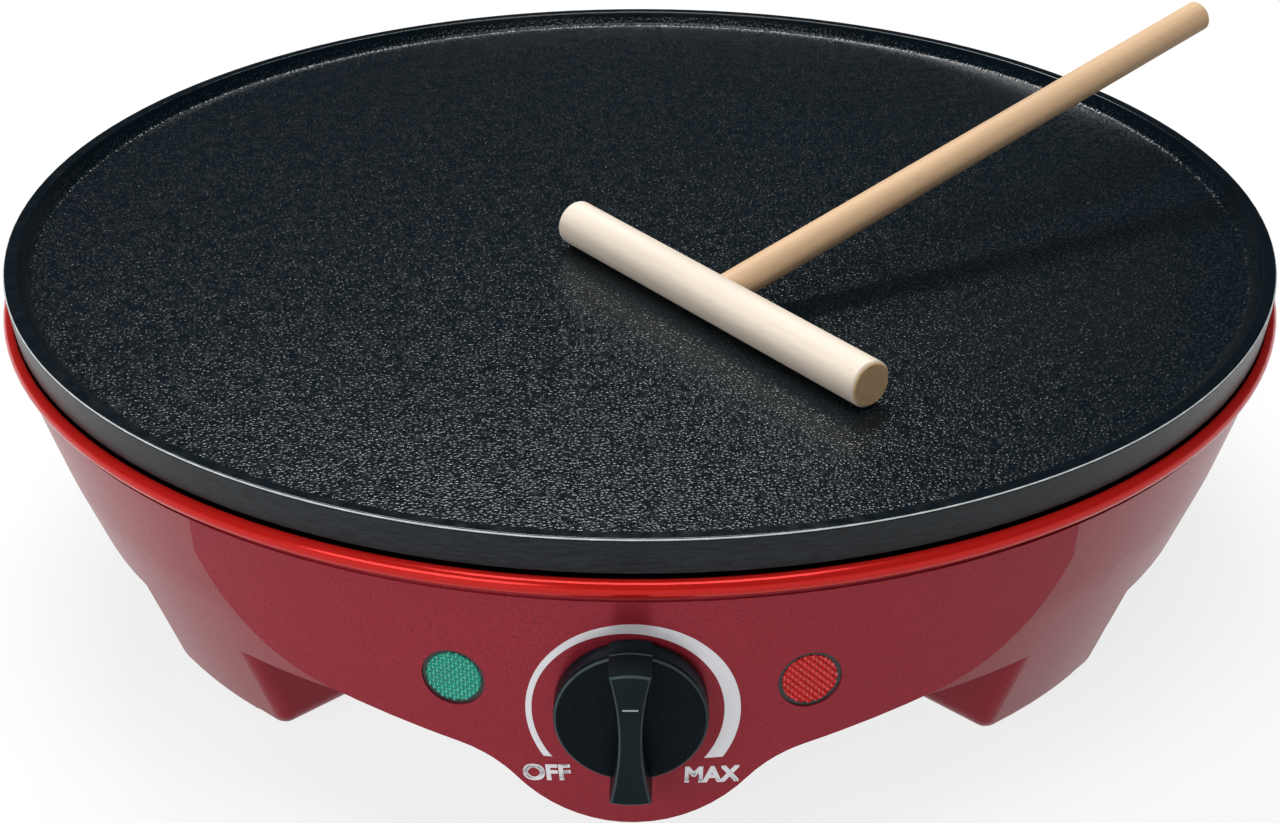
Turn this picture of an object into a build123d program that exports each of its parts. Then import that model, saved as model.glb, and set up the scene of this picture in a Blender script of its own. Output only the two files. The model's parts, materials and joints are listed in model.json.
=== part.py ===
"""Countertop electric crepe maker: a round griddle plate on a moulded base with four legs.

Millimetres, +Z up. The origin is on the plate's axis, level with the feet. The front, with
the dial, faces -Y. Azimuths are counted from the front towards +X.
"""

from build123d import *
import os
from math import cos, hypot, pi, radians, sin, tan

os.makedirs("parts", exist_ok=True)

# ---------------------------------------------------------------- griddle plate
plate_top = 84.0            # height of the rim's top over the table
plate_r = 156.0             # outer radius of the rim
plate_side_taper = 1.2      # the side wall draws in by this much towards its lower edge
plate_side_height = 8.5
rim_width = 3.2             # flat top of the rim
rim_height = 3.5            # rim top over the cooking surface
rim_slope = 2.6             # level run of the rim's inner flank
rim_round = 0.6
cook_round = 2.0            # inner corner between the cooking surface and the rim
plate_thickness = 5.0
plate_post_d = 12.0
plate_rib_count = 8
plate_rib_width = 2.6
plate_rib_height = 4.0
plate_rib_start = 98.0
plate_rib_margin = 6.0      # the ribs under the plate stop this far inside its rim

# ---------------------------------------------------------------- heating element
element_ring_r = 88.0
element_d = 7.0
element_gap_angle = 28.0    # the ring stays open over this angle, at the back
element_bend_r = 9.0
element_tail = 8.0          # straight cold end below each bend
ridge_wall = 4.0            # casting either side of the element's groove
clamp_thickness = 1.5
clamp_width = 10.0
clamp_end = 5.0             # strap beyond each clamp screw
clamp_azimuths = (60.0, 120.0, 240.0, 300.0)
clamp_screw_offset = 12.5   # from the element's centre line to each clamp screw
clamp_boss_d = 9.0
clamp_screw_d = 3.0
clamp_screw_bite = 5.0
bead_d = 9.0                # ceramic beads on the cold ends
bead_length = 5.0
terminal_d = 3.0
terminal_length = 6.0
tab_width = 6.3
tab_thickness = 0.8
tab_length = 8.0

# ---------------------------------------------------------------- red housing
lip_proud = 1.1             # the rolled lip stands this far outside the plate
lip_height = 4.1
lip_gap = 1.2               # open gap between the plate and the lip
neck_height = 1.2           # shadow groove under the lip
neck_depth = 0.5
crease_inset = 1.9          # the bowl's side starts this far inside the lip's outer edge
belly_z = 44.0              # where the side turns inwards
belly_draw = 7.6            # the side draws in by this much down to there
bowl_edge_z = 27.0          # lower edge of the red bowl between the legs
belly_round = 90.0
wall = 2.5

# ---------------------------------------------------------------- legs and feet
leg_azimuths = (46.0, 134.0, 226.0, 314.0)
leg_width = 43.0
leg_foot_z = 2.0            # underside of the legs
foot_draw = 23.2            # the legs' outer faces draw in by this much down to the foot
leg_depth = 32.0
leg_corner = 4.6
leg_round = 3.6
leg_root = 4.0              # the leg block runs this far up inside the bowl
post_inset = 16.0           # posts that carry the plate stand this far inside the feet's outer edge
post_seat_z = 32.0          # the plate screws' heads bear here, inside the posts
post_wall = 2.0
post_access_d = 9.0         # bore below the seat, plugged by the foot
foot_d = 17.0
foot_plug_length = 6.0

# ---------------------------------------------------------------- front panel
panel_lean = 2.0            # degrees that the panel leans in towards its foot
panel_half_top = 96.9       # half width at the crease
panel_corner_x = 83.0       # outer lower corner before rounding
panel_corner_z = 42.9
panel_corner_round = 44.0
panel_fall = 14.2           # degrees that the lower edge falls towards the tongue
lobe_z = 45.2               # centre of the round tongue under the dial
lobe_r = 32.2
lobe_blend = 24.0
pod_depth = 31.2            # from the crease to the rear wall of the pocket behind the dial

# ---------------------------------------------------------------- dial
dial_z = 44.4
knob_d = 31.6
knob_disc = 5.0
knob_standoff = 1.0         # gap between the panel and the knob's back
knob_edge_round = 1.0
knob_skirt = 1.8
knob_recess = 3.0
knob_hub_d = 12.0
grip_overhang = 0.5         # the grip's ends stand this far outside the disc
grip_end_width = 8.6
grip_waist = 4.8
grip_height = 7.4
grip_round = 0.8
shaft_d = 6.0
shaft_flat = 1.5            # depth of the flat that turns the knob
shaft_reach = 5.2           # shaft beyond the panel's outer face, inside the knob's disc
shaft_in_body = 6.0
shaft_running_clearance = 0.05
bush_d = 8.4
bush_sink = 0.6             # the bush ends this far under the panel's face
shaft_hole_d = 9.0
seat_depth = 4.2            # flat moulded seats stand this deep behind the panel
seat_margin = 2.0
thermostat_w = 30.0
thermostat_h = 23.0
thermostat_depth = 14.0
thermostat_tab_pitch = 16.0
thermostat_screw_pitch = 22.0
thermostat_screw_d = 3.0
thermostat_screw_length = 9.0
thermostat_screw_head_d = 5.6
thermostat_screw_sink = 0.35

# ---------------------------------------------------------------- pilot lamps
lamp_azimuth = 13.7
lamp_z = 47.2
lamp_hole_d = 13.6
lamp_lens_d = 11.8
lamp_sink = 0.5             # the holder's edge lies this far under the panel's face
lamp_dome = 0.4
lamp_lens_depth = 4.0
lamp_flange_d = 18.0
lamp_flange = 1.5
lamp_body_length = 17.0
lamp_back_wall = 2.0
neon_d = 5.0
neon_length = 9.0

# ---------------------------------------------------------------- heat shield and plate fixing
shield_thickness = 0.8
shield_drop = 8.0           # clear height between the element's clamps and the shield
shield_inset = 10.0         # the shield's edge lies this far inside the plate's rim
shield_rim = 7.0
shield_hole_d = 12.0        # passages for the element's cold ends
washer_thickness = 2.0
washer_d = 14.0
plate_screw_d = 4.0
plate_screw_hole_d = 4.5
plate_screw_bite = 9.0      # thread length in the plate's post
plate_screw_head_d = 8.0
plate_screw_head = 3.0

# ---------------------------------------------------------------- bottom cover
cover_z = 21.0              # underside of the cover
cover_floor = 2.0
cover_wall = 2.0
cover_inset = 9.0           # the cover's floor ends this far inside the legs' feet
cover_edge_gap = 0.4        # play between the cover's rim and the red wall
cover_rim = 3.0             # the cover's rim reaches this far inside the red wall
cover_fit = 0.4             # play round the legs and the tongue
cover_boss_inset = 9.5      # screw bosses stand this far inside the edge of the cover's floor
cover_boss_d = 9.0
cover_boss_top = 44.0
cover_boss_azimuths = (26.0, 90.0, 160.0, 200.0, 270.0, 334.0)
cover_screw_d = 3.5
cover_screw_length = 12.0
cover_screw_head_d = 7.0
cover_screw_head = 2.0
screw_play = 0.05
gusset_thickness = 2.5
vent_length = 30.0
vent_width = 4.5
vent_r = 62.0
vent_count = 16

# ---------------------------------------------------------------- cord entry
gland_z = 46.0
gland_inset = 3.7           # the flat seat of the gland lies this far inside the crease
gland_boss_depth = 10.0
gland_boss_d = 20.0
gland_neck_d = 12.0
gland_flange_d = 17.0
gland_flange = 2.2
gland_nozzle = 12.0
gland_nozzle_d = 9.6
gland_bore_d = 6.8
gland_throat_d = 9.0        # wider inside, so that only the nozzle guides the cord
gland_nut_d = 18.0
gland_nut = 2.5

# ---------------------------------------------------------------- wiring parts
block_w = 38.0
block_d = 18.0
block_h = 15.0
block_inset = 16.0          # from the edge of the cover's floor to the block's middle
block_pad = 3.0
block_screw_d = 3.0
block_screw_pitch = 32.0
pole_pitch = 10.0
pole_bore_d = 3.4
pole_sleeve_d = 5.4
wire_screw_d = 2.6
wire_screw_length = 5.0
fuse_d = 5.0
fuse_length = 28.0
fuse_x = 34.0
fuse_y = 30.0
sensor_d = 6.0
sensor_length = 56.0
sensor_y = -52.0
clip_width = 8.0
clip_thickness = 0.8
clip_ear = 9.0
clip_screw_d = 3.0
clip_screw_bite = 3.0
small_head_d = 5.6
small_head = 2.0
earth_azimuth = 158.0
earth_r = 106.0
earth_tag_d = 9.0
earth_tag_length = 16.0

# ---------------------------------------------------------------- leads inside the base
lead_d = 2.0
lead_core_d = 1.2
lead_bite = 6.0             # bare core inside the terminal block
lead_rest = 0.05            # gap between a lead and the cover's floor
lead_widest_bend = 25.0
lead_end_reach = 12.0       # straight lead beyond the fuse, the sensor and the thermostat
lead_hole_d = 6.0           # passages through the heat shield
capillary_d = 1.6
capillary_x = 11.5          # where the capillary enters the thermostat's back, from its middle
capillary_v = 5.5
connector_w = 7.4
connector_thickness = 2.4
connector_grip = 7.6        # length of the slot that takes a terminal's tab
connector_barrel = 3.2
connector_gap = 0.5         # bare tab before the connector
tab_play = 0.05

# ---------------------------------------------------------------- spreader
spreader_bar_d = 11.0
spreader_bar_length = 109.0
spreader_handle_d = 7.8
spreader_handle_length = 165.0   # from the bar's axis to the tip
spreader_socket = 2.5            # the handle's end lies this close to the bar's axis
spreader_x = 17.7
spreader_y = -51.9
spreader_heading = -52.0         # direction of the bar's axis from +X
spreader_tilt = 12.0             # rise of the handle
spreader_clearance = 0.3         # under the bar, so that it lifts off freely
spreader_chamfer = 0.7

# ---------------------------------------------------------------- derived heights and radii
cook_z = plate_top - rim_height
plate_bottom = cook_z - plate_thickness
plate_rib_end = plate_r - plate_rib_margin
lip_r = plate_r + lip_proud
crease_r = lip_r - crease_inset
belly_r = crease_r - belly_draw
leg_foot_r = crease_r - foot_draw
leg_back = leg_foot_r - leg_depth
post_r = leg_foot_r - post_inset
pod_back = crease_r - pod_depth
shield_r = plate_r - shield_inset
cover_foot_r = leg_foot_r - cover_inset
cover_boss_r = cover_foot_r - cover_boss_inset
gland_face_y = crease_r - gland_inset
block_y = cover_foot_r - block_inset
lip_top = plate_top - plate_side_height - lip_gap
lip_centre_r = lip_r - lip_height / 2
neck_top = lip_top - lip_height
crease_z = neck_top - neck_height
element_z = plate_bottom - element_d / 2
ridge_bottom = plate_bottom - element_d
clamp_bottom = ridge_bottom - clamp_thickness
shield_z = clamp_bottom - shield_drop - shield_thickness
post_top = shield_z - washer_thickness
post_d = post_access_d + 2 * post_wall
plate_post_bottom = shield_z + shield_thickness
cover_top = cover_z + cover_floor
ring_arc = 360 - element_gap_angle
ring_ends = (180 - element_gap_angle / 2, 180 + element_gap_angle / 2)
tail_top = element_z - element_bend_r
tail_bottom = tail_top - element_tail
bead_bottom = tail_bottom - bead_length
fuse_west = fuse_x - fuse_length / 2 - lead_end_reach
fuse_east = fuse_x + fuse_length / 2 + lead_end_reach
sensor_east = sensor_length / 2 + lead_end_reach
shield_passages = [(fuse_west, fuse_y), (fuse_east, fuse_y), (sensor_east, sensor_y)]


# ---------------------------------------------------------------- helpers
def at(azimuth, radius, height=0.0):
    """Point at an azimuth from the front, a radius and a height."""
    angle = radians(azimuth)
    return Vector(radius * sin(angle), -radius * cos(angle), height)


def panel_radius(height):
    """Radius of the conical front panel at a height."""
    return crease_r - (crease_z - height) * tan(radians(panel_lean))


def panel_plane(azimuth, height):
    """Plane on the front panel: its z axis points out and its x axis runs to the right."""
    lean = radians(panel_lean)
    angle = radians(azimuth)
    normal = (sin(angle) * cos(lean), -cos(angle) * cos(lean), -sin(lean))
    right = (cos(angle), sin(angle), 0)
    return Plane(origin=at(azimuth, panel_radius(height), height), x_dir=right, z_dir=normal)


def radial_plane(azimuth, radius=0.0, height=0.0):
    """Upright plane that faces away from the axis."""
    origin = at(azimuth, radius, height)
    return Plane(origin=origin, x_dir=at(azimuth + 90, 1), z_dir=at(azimuth, 1))


def facing_down(x, y, height):
    """Level plane that faces down, for screws that are driven in from below."""
    return Plane(origin=(x, y, height), x_dir=(1, 0, 0), z_dir=(0, 0, -1))


def screw(plane, shank_d, length, head_d, head_height):
    """Pan-headed screw: the head bears on the plane and the shank runs in against its normal."""
    with BuildPart() as piece:
        with BuildSketch(plane):
            Circle(shank_d / 2)
        extrude(amount=-length)
        with BuildSketch(plane):
            Circle(head_d / 2)
        extrude(amount=head_height)
        fillet(piece.edges().group_by(Axis(plane.origin, plane.z_dir))[-1], radius=head_height / 3)
    return piece.part


def countersunk(plane, shank_d, length, head_d):
    """Countersunk screw whose head lies flush with the plane."""
    head_height = (head_d - shank_d) / 2
    with BuildPart() as piece:
        with BuildSketch(plane):
            Circle(head_d / 2)
        extrude(amount=-head_height, taper=45)
        with BuildSketch(plane):
            Circle(shank_d / 2)
        extrude(amount=-length)
    return piece.part


def strap_clip(width, diameter, x, y):
    """Strap round a capsule that lies along X under the plate, with one ear for a screw."""
    reach = diameter / 2 + clip_thickness
    with BuildPart() as piece:
        with BuildSketch(Plane.YZ.offset(x)):
            with Locations((y, plate_bottom - diameter / 2)):
                Circle(reach)
                Rectangle(2 * reach, diameter / 2, align=(Align.CENTER, Align.MIN))
            with Locations((y, plate_bottom)):
                Rectangle(reach + clip_ear, clip_thickness, align=(Align.MIN, Align.MAX))
            with Locations((y, plate_bottom - diameter / 2)):
                Circle(diameter / 2, mode=Mode.SUBTRACT)
                Rectangle(diameter, diameter / 2, align=(Align.CENTER, Align.MIN), mode=Mode.SUBTRACT)
            with Locations((y, plate_bottom)):
                Rectangle(2 * reach, reach, align=(Align.CENTER, Align.MIN), mode=Mode.SUBTRACT)
        extrude(amount=width / 2, both=True)
        with BuildSketch(Plane.XY.offset(plate_bottom)):
            with Locations(clip_screw_spot(diameter, x, y)):
                Circle(clip_screw_d / 2)
        extrude(amount=-clip_thickness, mode=Mode.SUBTRACT)
    return piece.part


def clip_screw_spot(diameter, x, y):
    """Where the screw of a strap clip goes."""
    return (x, y + diameter / 2 + clip_thickness + clip_ear / 2)


def tail_spot(azimuth, side):
    """Axis of the element's cold end beyond its bend."""
    spot = at(azimuth, element_ring_r) + at(azimuth + 90, side * element_bend_r)
    return (spot.X, spot.Y)


def save(builder, name):
    """Label the finished piece and write its STEP file."""
    builder.part.label = name
    export_step(builder.part, f"parts/{name}.step")


# ---------------------------------------------------------------- forms of the moulded housing
def envelope(inset):
    """Solid inside the common outer surface of the bowl and the legs."""
    with BuildPart() as body:
        with BuildSketch(Plane.XZ):
            with BuildLine():
                side = FilletPolyline(
                    (leg_foot_r - inset, leg_foot_z),
                    (belly_r - inset, belly_z),
                    (crease_r - inset, crease_z),
                    radius=belly_round,
                )
                Polyline(side @ 1, (0, crease_z), (0, leg_foot_z), side @ 0)
            make_face()
        revolve(axis=Axis.Z)
    return body.part


def envelope_radius(height):
    """Outer radius of the legs and the lower bowl at a height."""
    share = (height - leg_foot_z) / (belly_z - leg_foot_z)
    return leg_foot_r + share * (belly_r - leg_foot_r)


def bowl_form(inset):
    """The round bowl from its lower edge up to the crease."""
    with BuildPart() as body:
        add(envelope(inset))
        split(bisect_by=Plane.XY.offset(bowl_edge_z), keep=Keep.TOP)
    return body.part


def leg_form(azimuth, inset):
    """One leg as a block cut to the housing's outer surface, its outer corners rounded."""
    height = bowl_edge_z + leg_root - leg_foot_z
    with BuildPart() as leg:
        with BuildSketch(radial_plane(azimuth).offset(leg_back + inset)) as outline:
            with Locations((0, leg_foot_z)):
                Rectangle(leg_width, height, align=(Align.CENTER, Align.MIN))
            fillet(outline.vertices().group_by(Axis.Y)[0], radius=leg_corner)
            if inset:
                offset(amount=-inset, kind=Kind.INTERSECTION)
        extrude(amount=lip_r - leg_back)
        add(envelope(inset), mode=Mode.INTERSECT)
        rim = leg.edges().filter_by(lambda e: borders_leg_face(e, leg_foot_z + inset))
        fillet(rim, radius=leg_round - inset)
    return leg.part


def borders_leg_face(edge, foot_z):
    """Does this edge border the leg's outer face, apart from its top?"""
    ends = (edge @ 0, edge @ 1)
    outside = all(hypot(p.X, p.Y) > (leg_back + leg_foot_r) / 2 + wall for p in ends)
    level = abs(ends[0].Z - ends[1].Z) < 0.01
    return outside and (not level or abs(ends[0].Z - foot_z) < 0.01)


def panel_form(inset):
    """The front panel with its round tongue, as a block back to the pocket's rear wall."""
    middle_z = panel_corner_z - panel_corner_x * tan(radians(panel_fall))
    lean = radians(panel_lean)
    foot_z = lobe_z - lobe_r - wall
    with BuildPart() as panel:
        with BuildSketch(Plane.XZ.offset(pod_back + inset)) as outline:
            with BuildLine():
                Polyline(
                    (panel_half_top, crease_z),
                    (panel_corner_x, panel_corner_z),
                    (0, middle_z),
                    (0, crease_z),
                    close=True,
                )
            make_face()
            mirror(about=Plane.YZ)
            with Locations((0, lobe_z)):
                Circle(lobe_r)
            with Locations((0, crease_z)):
                Rectangle(2 * lobe_r, lobe_r, align=(Align.CENTER, Align.MIN), mode=Mode.SUBTRACT)
            low = outline.vertices().filter_by(lambda v: v.Y < panel_corner_z + 1)
            corners = low.group_by(lambda v: round(abs(v.X), 1))
            fillet(corners[-1], radius=panel_corner_round)
            throat = outline.vertices().filter_by(lambda v: 0.8 * lobe_r < abs(v.X) < lobe_r)
            fillet(throat.filter_by(lambda v: v.Y < lobe_z), radius=lobe_blend)
            if inset:
                offset(amount=-inset, kind=Kind.INTERSECTION)
        extrude(amount=lip_r - pod_back)
        with BuildSketch(Plane.XZ):
            with BuildLine():
                Polyline(
                    (0, foot_z),
                    (panel_radius(foot_z) - inset / cos(lean), foot_z),
                    (panel_radius(crease_z) - inset / cos(lean), crease_z),
                    (0, crease_z),
                    close=True,
                )
            make_face()
        revolve(axis=Axis.Z, mode=Mode.INTERSECT)
    return panel.part


with BuildPart() as outer_form:
    add(bowl_form(0))
    for azimuth in leg_azimuths:
        add(leg_form(azimuth, 0))
    add(panel_form(0))

with BuildPart() as inner_form:
    add(bowl_form(wall))
    for azimuth in leg_azimuths:
        add(leg_form(azimuth, wall))
    add(panel_form(wall))


# ---------------------------------------------------------------- red housing
# The posts, screw bosses and gussets inside run out to the wall, so they are trimmed to the
# outer surface before they join it.
with BuildPart() as fittings:
    for azimuth in leg_azimuths:
        with BuildSketch(Plane.XY.offset(leg_foot_z)):
            with Locations(at(azimuth, post_r)):
                Circle(post_d / 2)
        extrude(amount=post_top - leg_foot_z)
        with BuildSketch(radial_plane(azimuth, post_r)):
            with Locations((0, post_seat_z)):
                Rectangle(gusset_thickness, post_top - post_seat_z, align=(Align.CENTER, Align.MIN))
        extrude(amount=lip_r - post_r)
    for azimuth in cover_boss_azimuths:
        with BuildSketch(Plane.XY.offset(cover_top)):
            with Locations(at(azimuth, cover_boss_r)):
                Circle(cover_boss_d / 2)
        extrude(amount=cover_boss_top - cover_top)
        gusset_z = bowl_edge_z + cover_rim + cover_edge_gap
        with BuildSketch(radial_plane(azimuth, cover_boss_r)):
            with Locations((0, gusset_z)):
                Rectangle(gusset_thickness, cover_boss_top - gusset_z, align=(Align.CENTER, Align.MIN))
        extrude(amount=lip_r - cover_boss_r)
    with BuildSketch(panel_plane(0, dial_z).offset(-seat_depth)):
        Rectangle(thermostat_w + 2 * seat_margin, thermostat_h + 2 * seat_margin)
    extrude(amount=seat_depth - wall / 2)
    for azimuth in (-lamp_azimuth, lamp_azimuth):
        with BuildSketch(panel_plane(azimuth, lamp_z).offset(-seat_depth)):
            Circle(lamp_flange_d / 2 + seat_margin)
        extrude(amount=seat_depth - wall / 2)
    add(outer_form.part, mode=Mode.INTERSECT)

with BuildPart() as housing:
    add(outer_form.part)
    add(inner_form.part, mode=Mode.SUBTRACT)
    add(fittings.part)
    # rolled lip over a narrow neck
    with BuildSketch(Plane.XZ):
        with BuildLine():
            start = Polyline(
                (lip_centre_r, lip_top),
                (crease_r - wall, lip_top),
                (crease_r - wall, crease_z),
                (crease_r - neck_depth, crease_z),
                (crease_r - neck_depth, neck_top),
                (lip_centre_r, neck_top),
            )
            ThreePointArc(start @ 1, (lip_r, (lip_top + neck_top) / 2), start @ 0)
        make_face()
    revolve(axis=Axis.Z)
    # boss for the cord gland in the rear wall
    with BuildSketch(radial_plane(180, gland_face_y, gland_z)):
        Circle(gland_boss_d / 2)
    extrude(amount=-gland_boss_depth)
    with BuildSketch(radial_plane(180, gland_face_y, gland_z)):
        Circle(gland_neck_d / 2)
    extrude(amount=-gland_boss_depth, mode=Mode.SUBTRACT)
    # bores through the posts: wide from below up to the seat, then narrow
    for azimuth in leg_azimuths:
        with BuildSketch(Plane.XY.offset(leg_foot_z)):
            with Locations(at(azimuth, post_r)):
                Circle(post_access_d / 2)
        extrude(amount=post_seat_z - leg_foot_z, mode=Mode.SUBTRACT)
        with BuildSketch(Plane.XY.offset(post_seat_z)):
            with Locations(at(azimuth, post_r)):
                Circle(plate_screw_hole_d / 2)
        extrude(amount=post_top - post_seat_z, mode=Mode.SUBTRACT)
    for azimuth in cover_boss_azimuths:
        with BuildSketch(Plane.XY.offset(cover_top)):
            with Locations(at(azimuth, cover_boss_r)):
                Circle(cover_screw_d / 2)
        extrude(amount=cover_screw_length, mode=Mode.SUBTRACT)
    # panel holes for the shaft's bush, the thermostat screws and the pilot lamps
    with Locations(panel_plane(0, dial_z).offset(knob_standoff).location):
        Hole(shaft_hole_d / 2, depth=seat_depth + 2 * knob_standoff)
    with Locations(panel_plane(0, dial_z).offset(-thermostat_screw_sink).location):
        with Locations((-thermostat_screw_pitch / 2, 0), (thermostat_screw_pitch / 2, 0)):
            CounterSinkHole(
                thermostat_screw_d / 2,
                thermostat_screw_head_d / 2,
                depth=seat_depth,
                counter_sink_angle=90,
            )
    for azimuth in (-lamp_azimuth, lamp_azimuth):
        with BuildSketch(panel_plane(azimuth, lamp_z).offset(knob_standoff)):
            Circle(lamp_hole_d / 2)
        extrude(amount=-seat_depth - 2 * knob_standoff, mode=Mode.SUBTRACT)

save(housing, "housing")


# ---------------------------------------------------------------- rubber feet
with BuildPart() as rubber_feet:
    for azimuth in leg_azimuths:
        with BuildSketch(Plane.XY):
            with Locations(at(azimuth, post_r)):
                Circle(foot_d / 2)
        extrude(amount=leg_foot_z)
        with BuildSketch(Plane.XY.offset(leg_foot_z)):
            with Locations(at(azimuth, post_r)):
                Circle(post_access_d / 2)
        extrude(amount=foot_plug_length)
save(rubber_feet, "rubber_feet")


# ---------------------------------------------------------------- bottom cover
with BuildPart() as bottom_cover:
    rim_outer = envelope_radius(bowl_edge_z) - wall - cover_edge_gap
    rim_top = bowl_edge_z + cover_rim
    with BuildSketch(Plane.XZ):
        with BuildLine():
            Polyline(
                (0, cover_z),
                (cover_foot_r, cover_z),
                (rim_outer, bowl_edge_z),
                (rim_outer, rim_top),
                (rim_outer - cover_wall, rim_top),
                (rim_outer - cover_wall, bowl_edge_z),
                (cover_foot_r - cover_wall, cover_top),
                (0, cover_top),
                close=True,
            )
        make_face()
    revolve(axis=Axis.Z)
    for azimuth in leg_azimuths:
        add(leg_form(azimuth, -cover_fit), mode=Mode.SUBTRACT)
    add(panel_form(-cover_fit), mode=Mode.SUBTRACT)
    for azimuth in cover_boss_azimuths:
        with BuildSketch(Plane.XY.offset(cover_z)):
            with Locations(at(azimuth, cover_boss_r)):
                Circle(cover_screw_d / 2 + screw_play)
        extrude(amount=cover_floor, mode=Mode.SUBTRACT)
    with BuildSketch(Plane.XY.offset(cover_z)):
        with PolarLocations(vent_r, vent_count):
            SlotOverall(vent_length, vent_width)
    extrude(amount=cover_floor, mode=Mode.SUBTRACT)
    # raised pad for the terminal block
    with BuildSketch(Plane.XY.offset(cover_top)):
        with Locations((0, block_y)):
            Rectangle(block_w, block_d)
    extrude(amount=block_pad)
    with BuildSketch(Plane.XY.offset(cover_top)):
        with Locations((-block_screw_pitch / 2, block_y), (block_screw_pitch / 2, block_y)):
            Circle(block_screw_d / 2)
    extrude(amount=block_pad, mode=Mode.SUBTRACT)
save(bottom_cover, "bottom_cover")

with BuildPart() as cover_screws:
    for azimuth in cover_boss_azimuths:
        spot = at(azimuth, cover_boss_r)
        plane = facing_down(spot.X, spot.Y, cover_z)
        length = cover_floor + cover_screw_length
        add(screw(plane, cover_screw_d, length, cover_screw_head_d, cover_screw_head))
save(cover_screws, "cover_screws")


# ---------------------------------------------------------------- griddle plate
with BuildPart() as cooking_plate:
    with BuildSketch(Plane.XZ) as section:
        with BuildLine():
            Polyline(
                (0, plate_bottom),
                (plate_r - plate_side_taper, plate_bottom),
                (plate_r, plate_top),
                (plate_r - rim_width, plate_top),
                (plate_r - rim_width - rim_slope, cook_z),
                (0, cook_z),
                close=True,
            )
        make_face()
        rim_corners = section.vertices().group_by(Axis.Y)[-1]
        fillet(rim_corners, radius=rim_round)
        inner_corner = section.vertices().filter_by(lambda v: abs(v.Y - cook_z) < 0.01 and v.X > 1)
        fillet(inner_corner, radius=cook_round)
    revolve(axis=Axis.Z)
    # ridge that holds the heating element in a groove open downwards
    with BuildSketch(radial_plane(ring_ends[1] - 90)):
        with Locations((element_ring_r, plate_bottom)):
            Rectangle(element_d + 2 * ridge_wall, element_d, align=(Align.CENTER, Align.MAX))
    revolve(axis=Axis.Z, revolution_arc=ring_arc)
    with BuildSketch(Plane.XY.offset(plate_bottom)):
        for azimuth in leg_azimuths:
            with Locations(at(azimuth, post_r)):
                Circle(plate_post_d / 2)
        with Locations(at(earth_azimuth, earth_r)):
            Circle(plate_post_d / 2)
    extrude(amount=plate_post_bottom - plate_bottom)
    with BuildSketch(Plane.XY.offset(plate_bottom)):
        for azimuth in clamp_azimuths:
            for offset_r in (-clamp_screw_offset, clamp_screw_offset):
                with Locations(at(azimuth, element_ring_r + offset_r)):
                    Circle(clamp_boss_d / 2)
    extrude(amount=-element_d)
    with BuildSketch(Plane.XY.offset(plate_bottom)):
        with PolarLocations((plate_rib_start + plate_rib_end) / 2, plate_rib_count, start_angle=22.5):
            Rectangle(plate_rib_end - plate_rib_start, plate_rib_width)
    extrude(amount=-plate_rib_height)
    # groove: round at the top, straight to the mouth
    with BuildSketch(Plane.XZ):
        with Locations((element_ring_r, element_z)):
            Circle(element_d / 2)
            Rectangle(element_d, element_d / 2, align=(Align.CENTER, Align.MAX))
    revolve(axis=Axis.Z, mode=Mode.SUBTRACT)
    # screw holes from below
    with BuildSketch(Plane.XY.offset(plate_post_bottom)):
        for azimuth in leg_azimuths:
            with Locations(at(azimuth, post_r)):
                Circle(plate_screw_d / 2)
        with Locations(at(earth_azimuth, earth_r)):
            Circle(plate_screw_d / 2)
    extrude(amount=plate_screw_bite, mode=Mode.SUBTRACT)
    with BuildSketch(Plane.XY.offset(ridge_bottom)):
        for azimuth in clamp_azimuths:
            for offset_r in (-clamp_screw_offset, clamp_screw_offset):
                with Locations(at(azimuth, element_ring_r + offset_r)):
                    Circle(clamp_screw_d / 2)
    extrude(amount=clamp_screw_bite, mode=Mode.SUBTRACT)
    with BuildSketch(Plane.XY.offset(plate_bottom)):
        with Locations(clip_screw_spot(sensor_d, 0, sensor_y), clip_screw_spot(fuse_d, fuse_x, fuse_y)):
            Circle(clip_screw_d / 2)
    extrude(amount=clip_screw_bite, mode=Mode.SUBTRACT)
save(cooking_plate, "cooking_plate")


# ---------------------------------------------------------------- heating element
with BuildPart() as heating_element:
    with BuildSketch(radial_plane(ring_ends[1] - 90)):
        with Locations((element_ring_r, element_z)):
            Circle(element_d / 2)
    revolve(axis=Axis.Z, revolution_arc=ring_arc)
    for azimuth, side in zip(ring_ends, (1, -1)):
        hub = at(azimuth, element_ring_r, tail_top)
        with BuildSketch(radial_plane(azimuth - 90)):
            with Locations((element_ring_r, element_z)):
                Circle(element_d / 2)
        revolve(axis=Axis(hub, at(azimuth, -side)), revolution_arc=90)
        with BuildSketch(Plane.XY.offset(tail_bottom)):
            with Locations(tail_spot(azimuth, side)):
                Circle(element_d / 2)
        extrude(amount=element_tail)
save(heating_element, "heating_element")

with BuildPart() as element_insulators:
    for azimuth, side in zip(ring_ends, (1, -1)):
        with BuildSketch(Plane.XY.offset(bead_bottom)):
            with Locations(tail_spot(azimuth, side)):
                Circle(bead_d / 2)
                Circle(terminal_d / 2, mode=Mode.SUBTRACT)
        extrude(amount=bead_length)
save(element_insulators, "element_insulators")

with BuildPart() as element_terminals:
    for azimuth, side in zip(ring_ends, (1, -1)):
        with BuildSketch(Plane.XY.offset(bead_bottom - terminal_length)):
            with Locations(tail_spot(azimuth, side)):
                Circle(terminal_d / 2)
        extrude(amount=bead_length + terminal_length)
        with BuildSketch(Plane.XY.offset(bead_bottom - terminal_length)):
            with Locations(tail_spot(azimuth, side)):
                Rectangle(tab_width, tab_thickness)
        extrude(amount=-tab_length)
save(element_terminals, "element_terminals")

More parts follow.
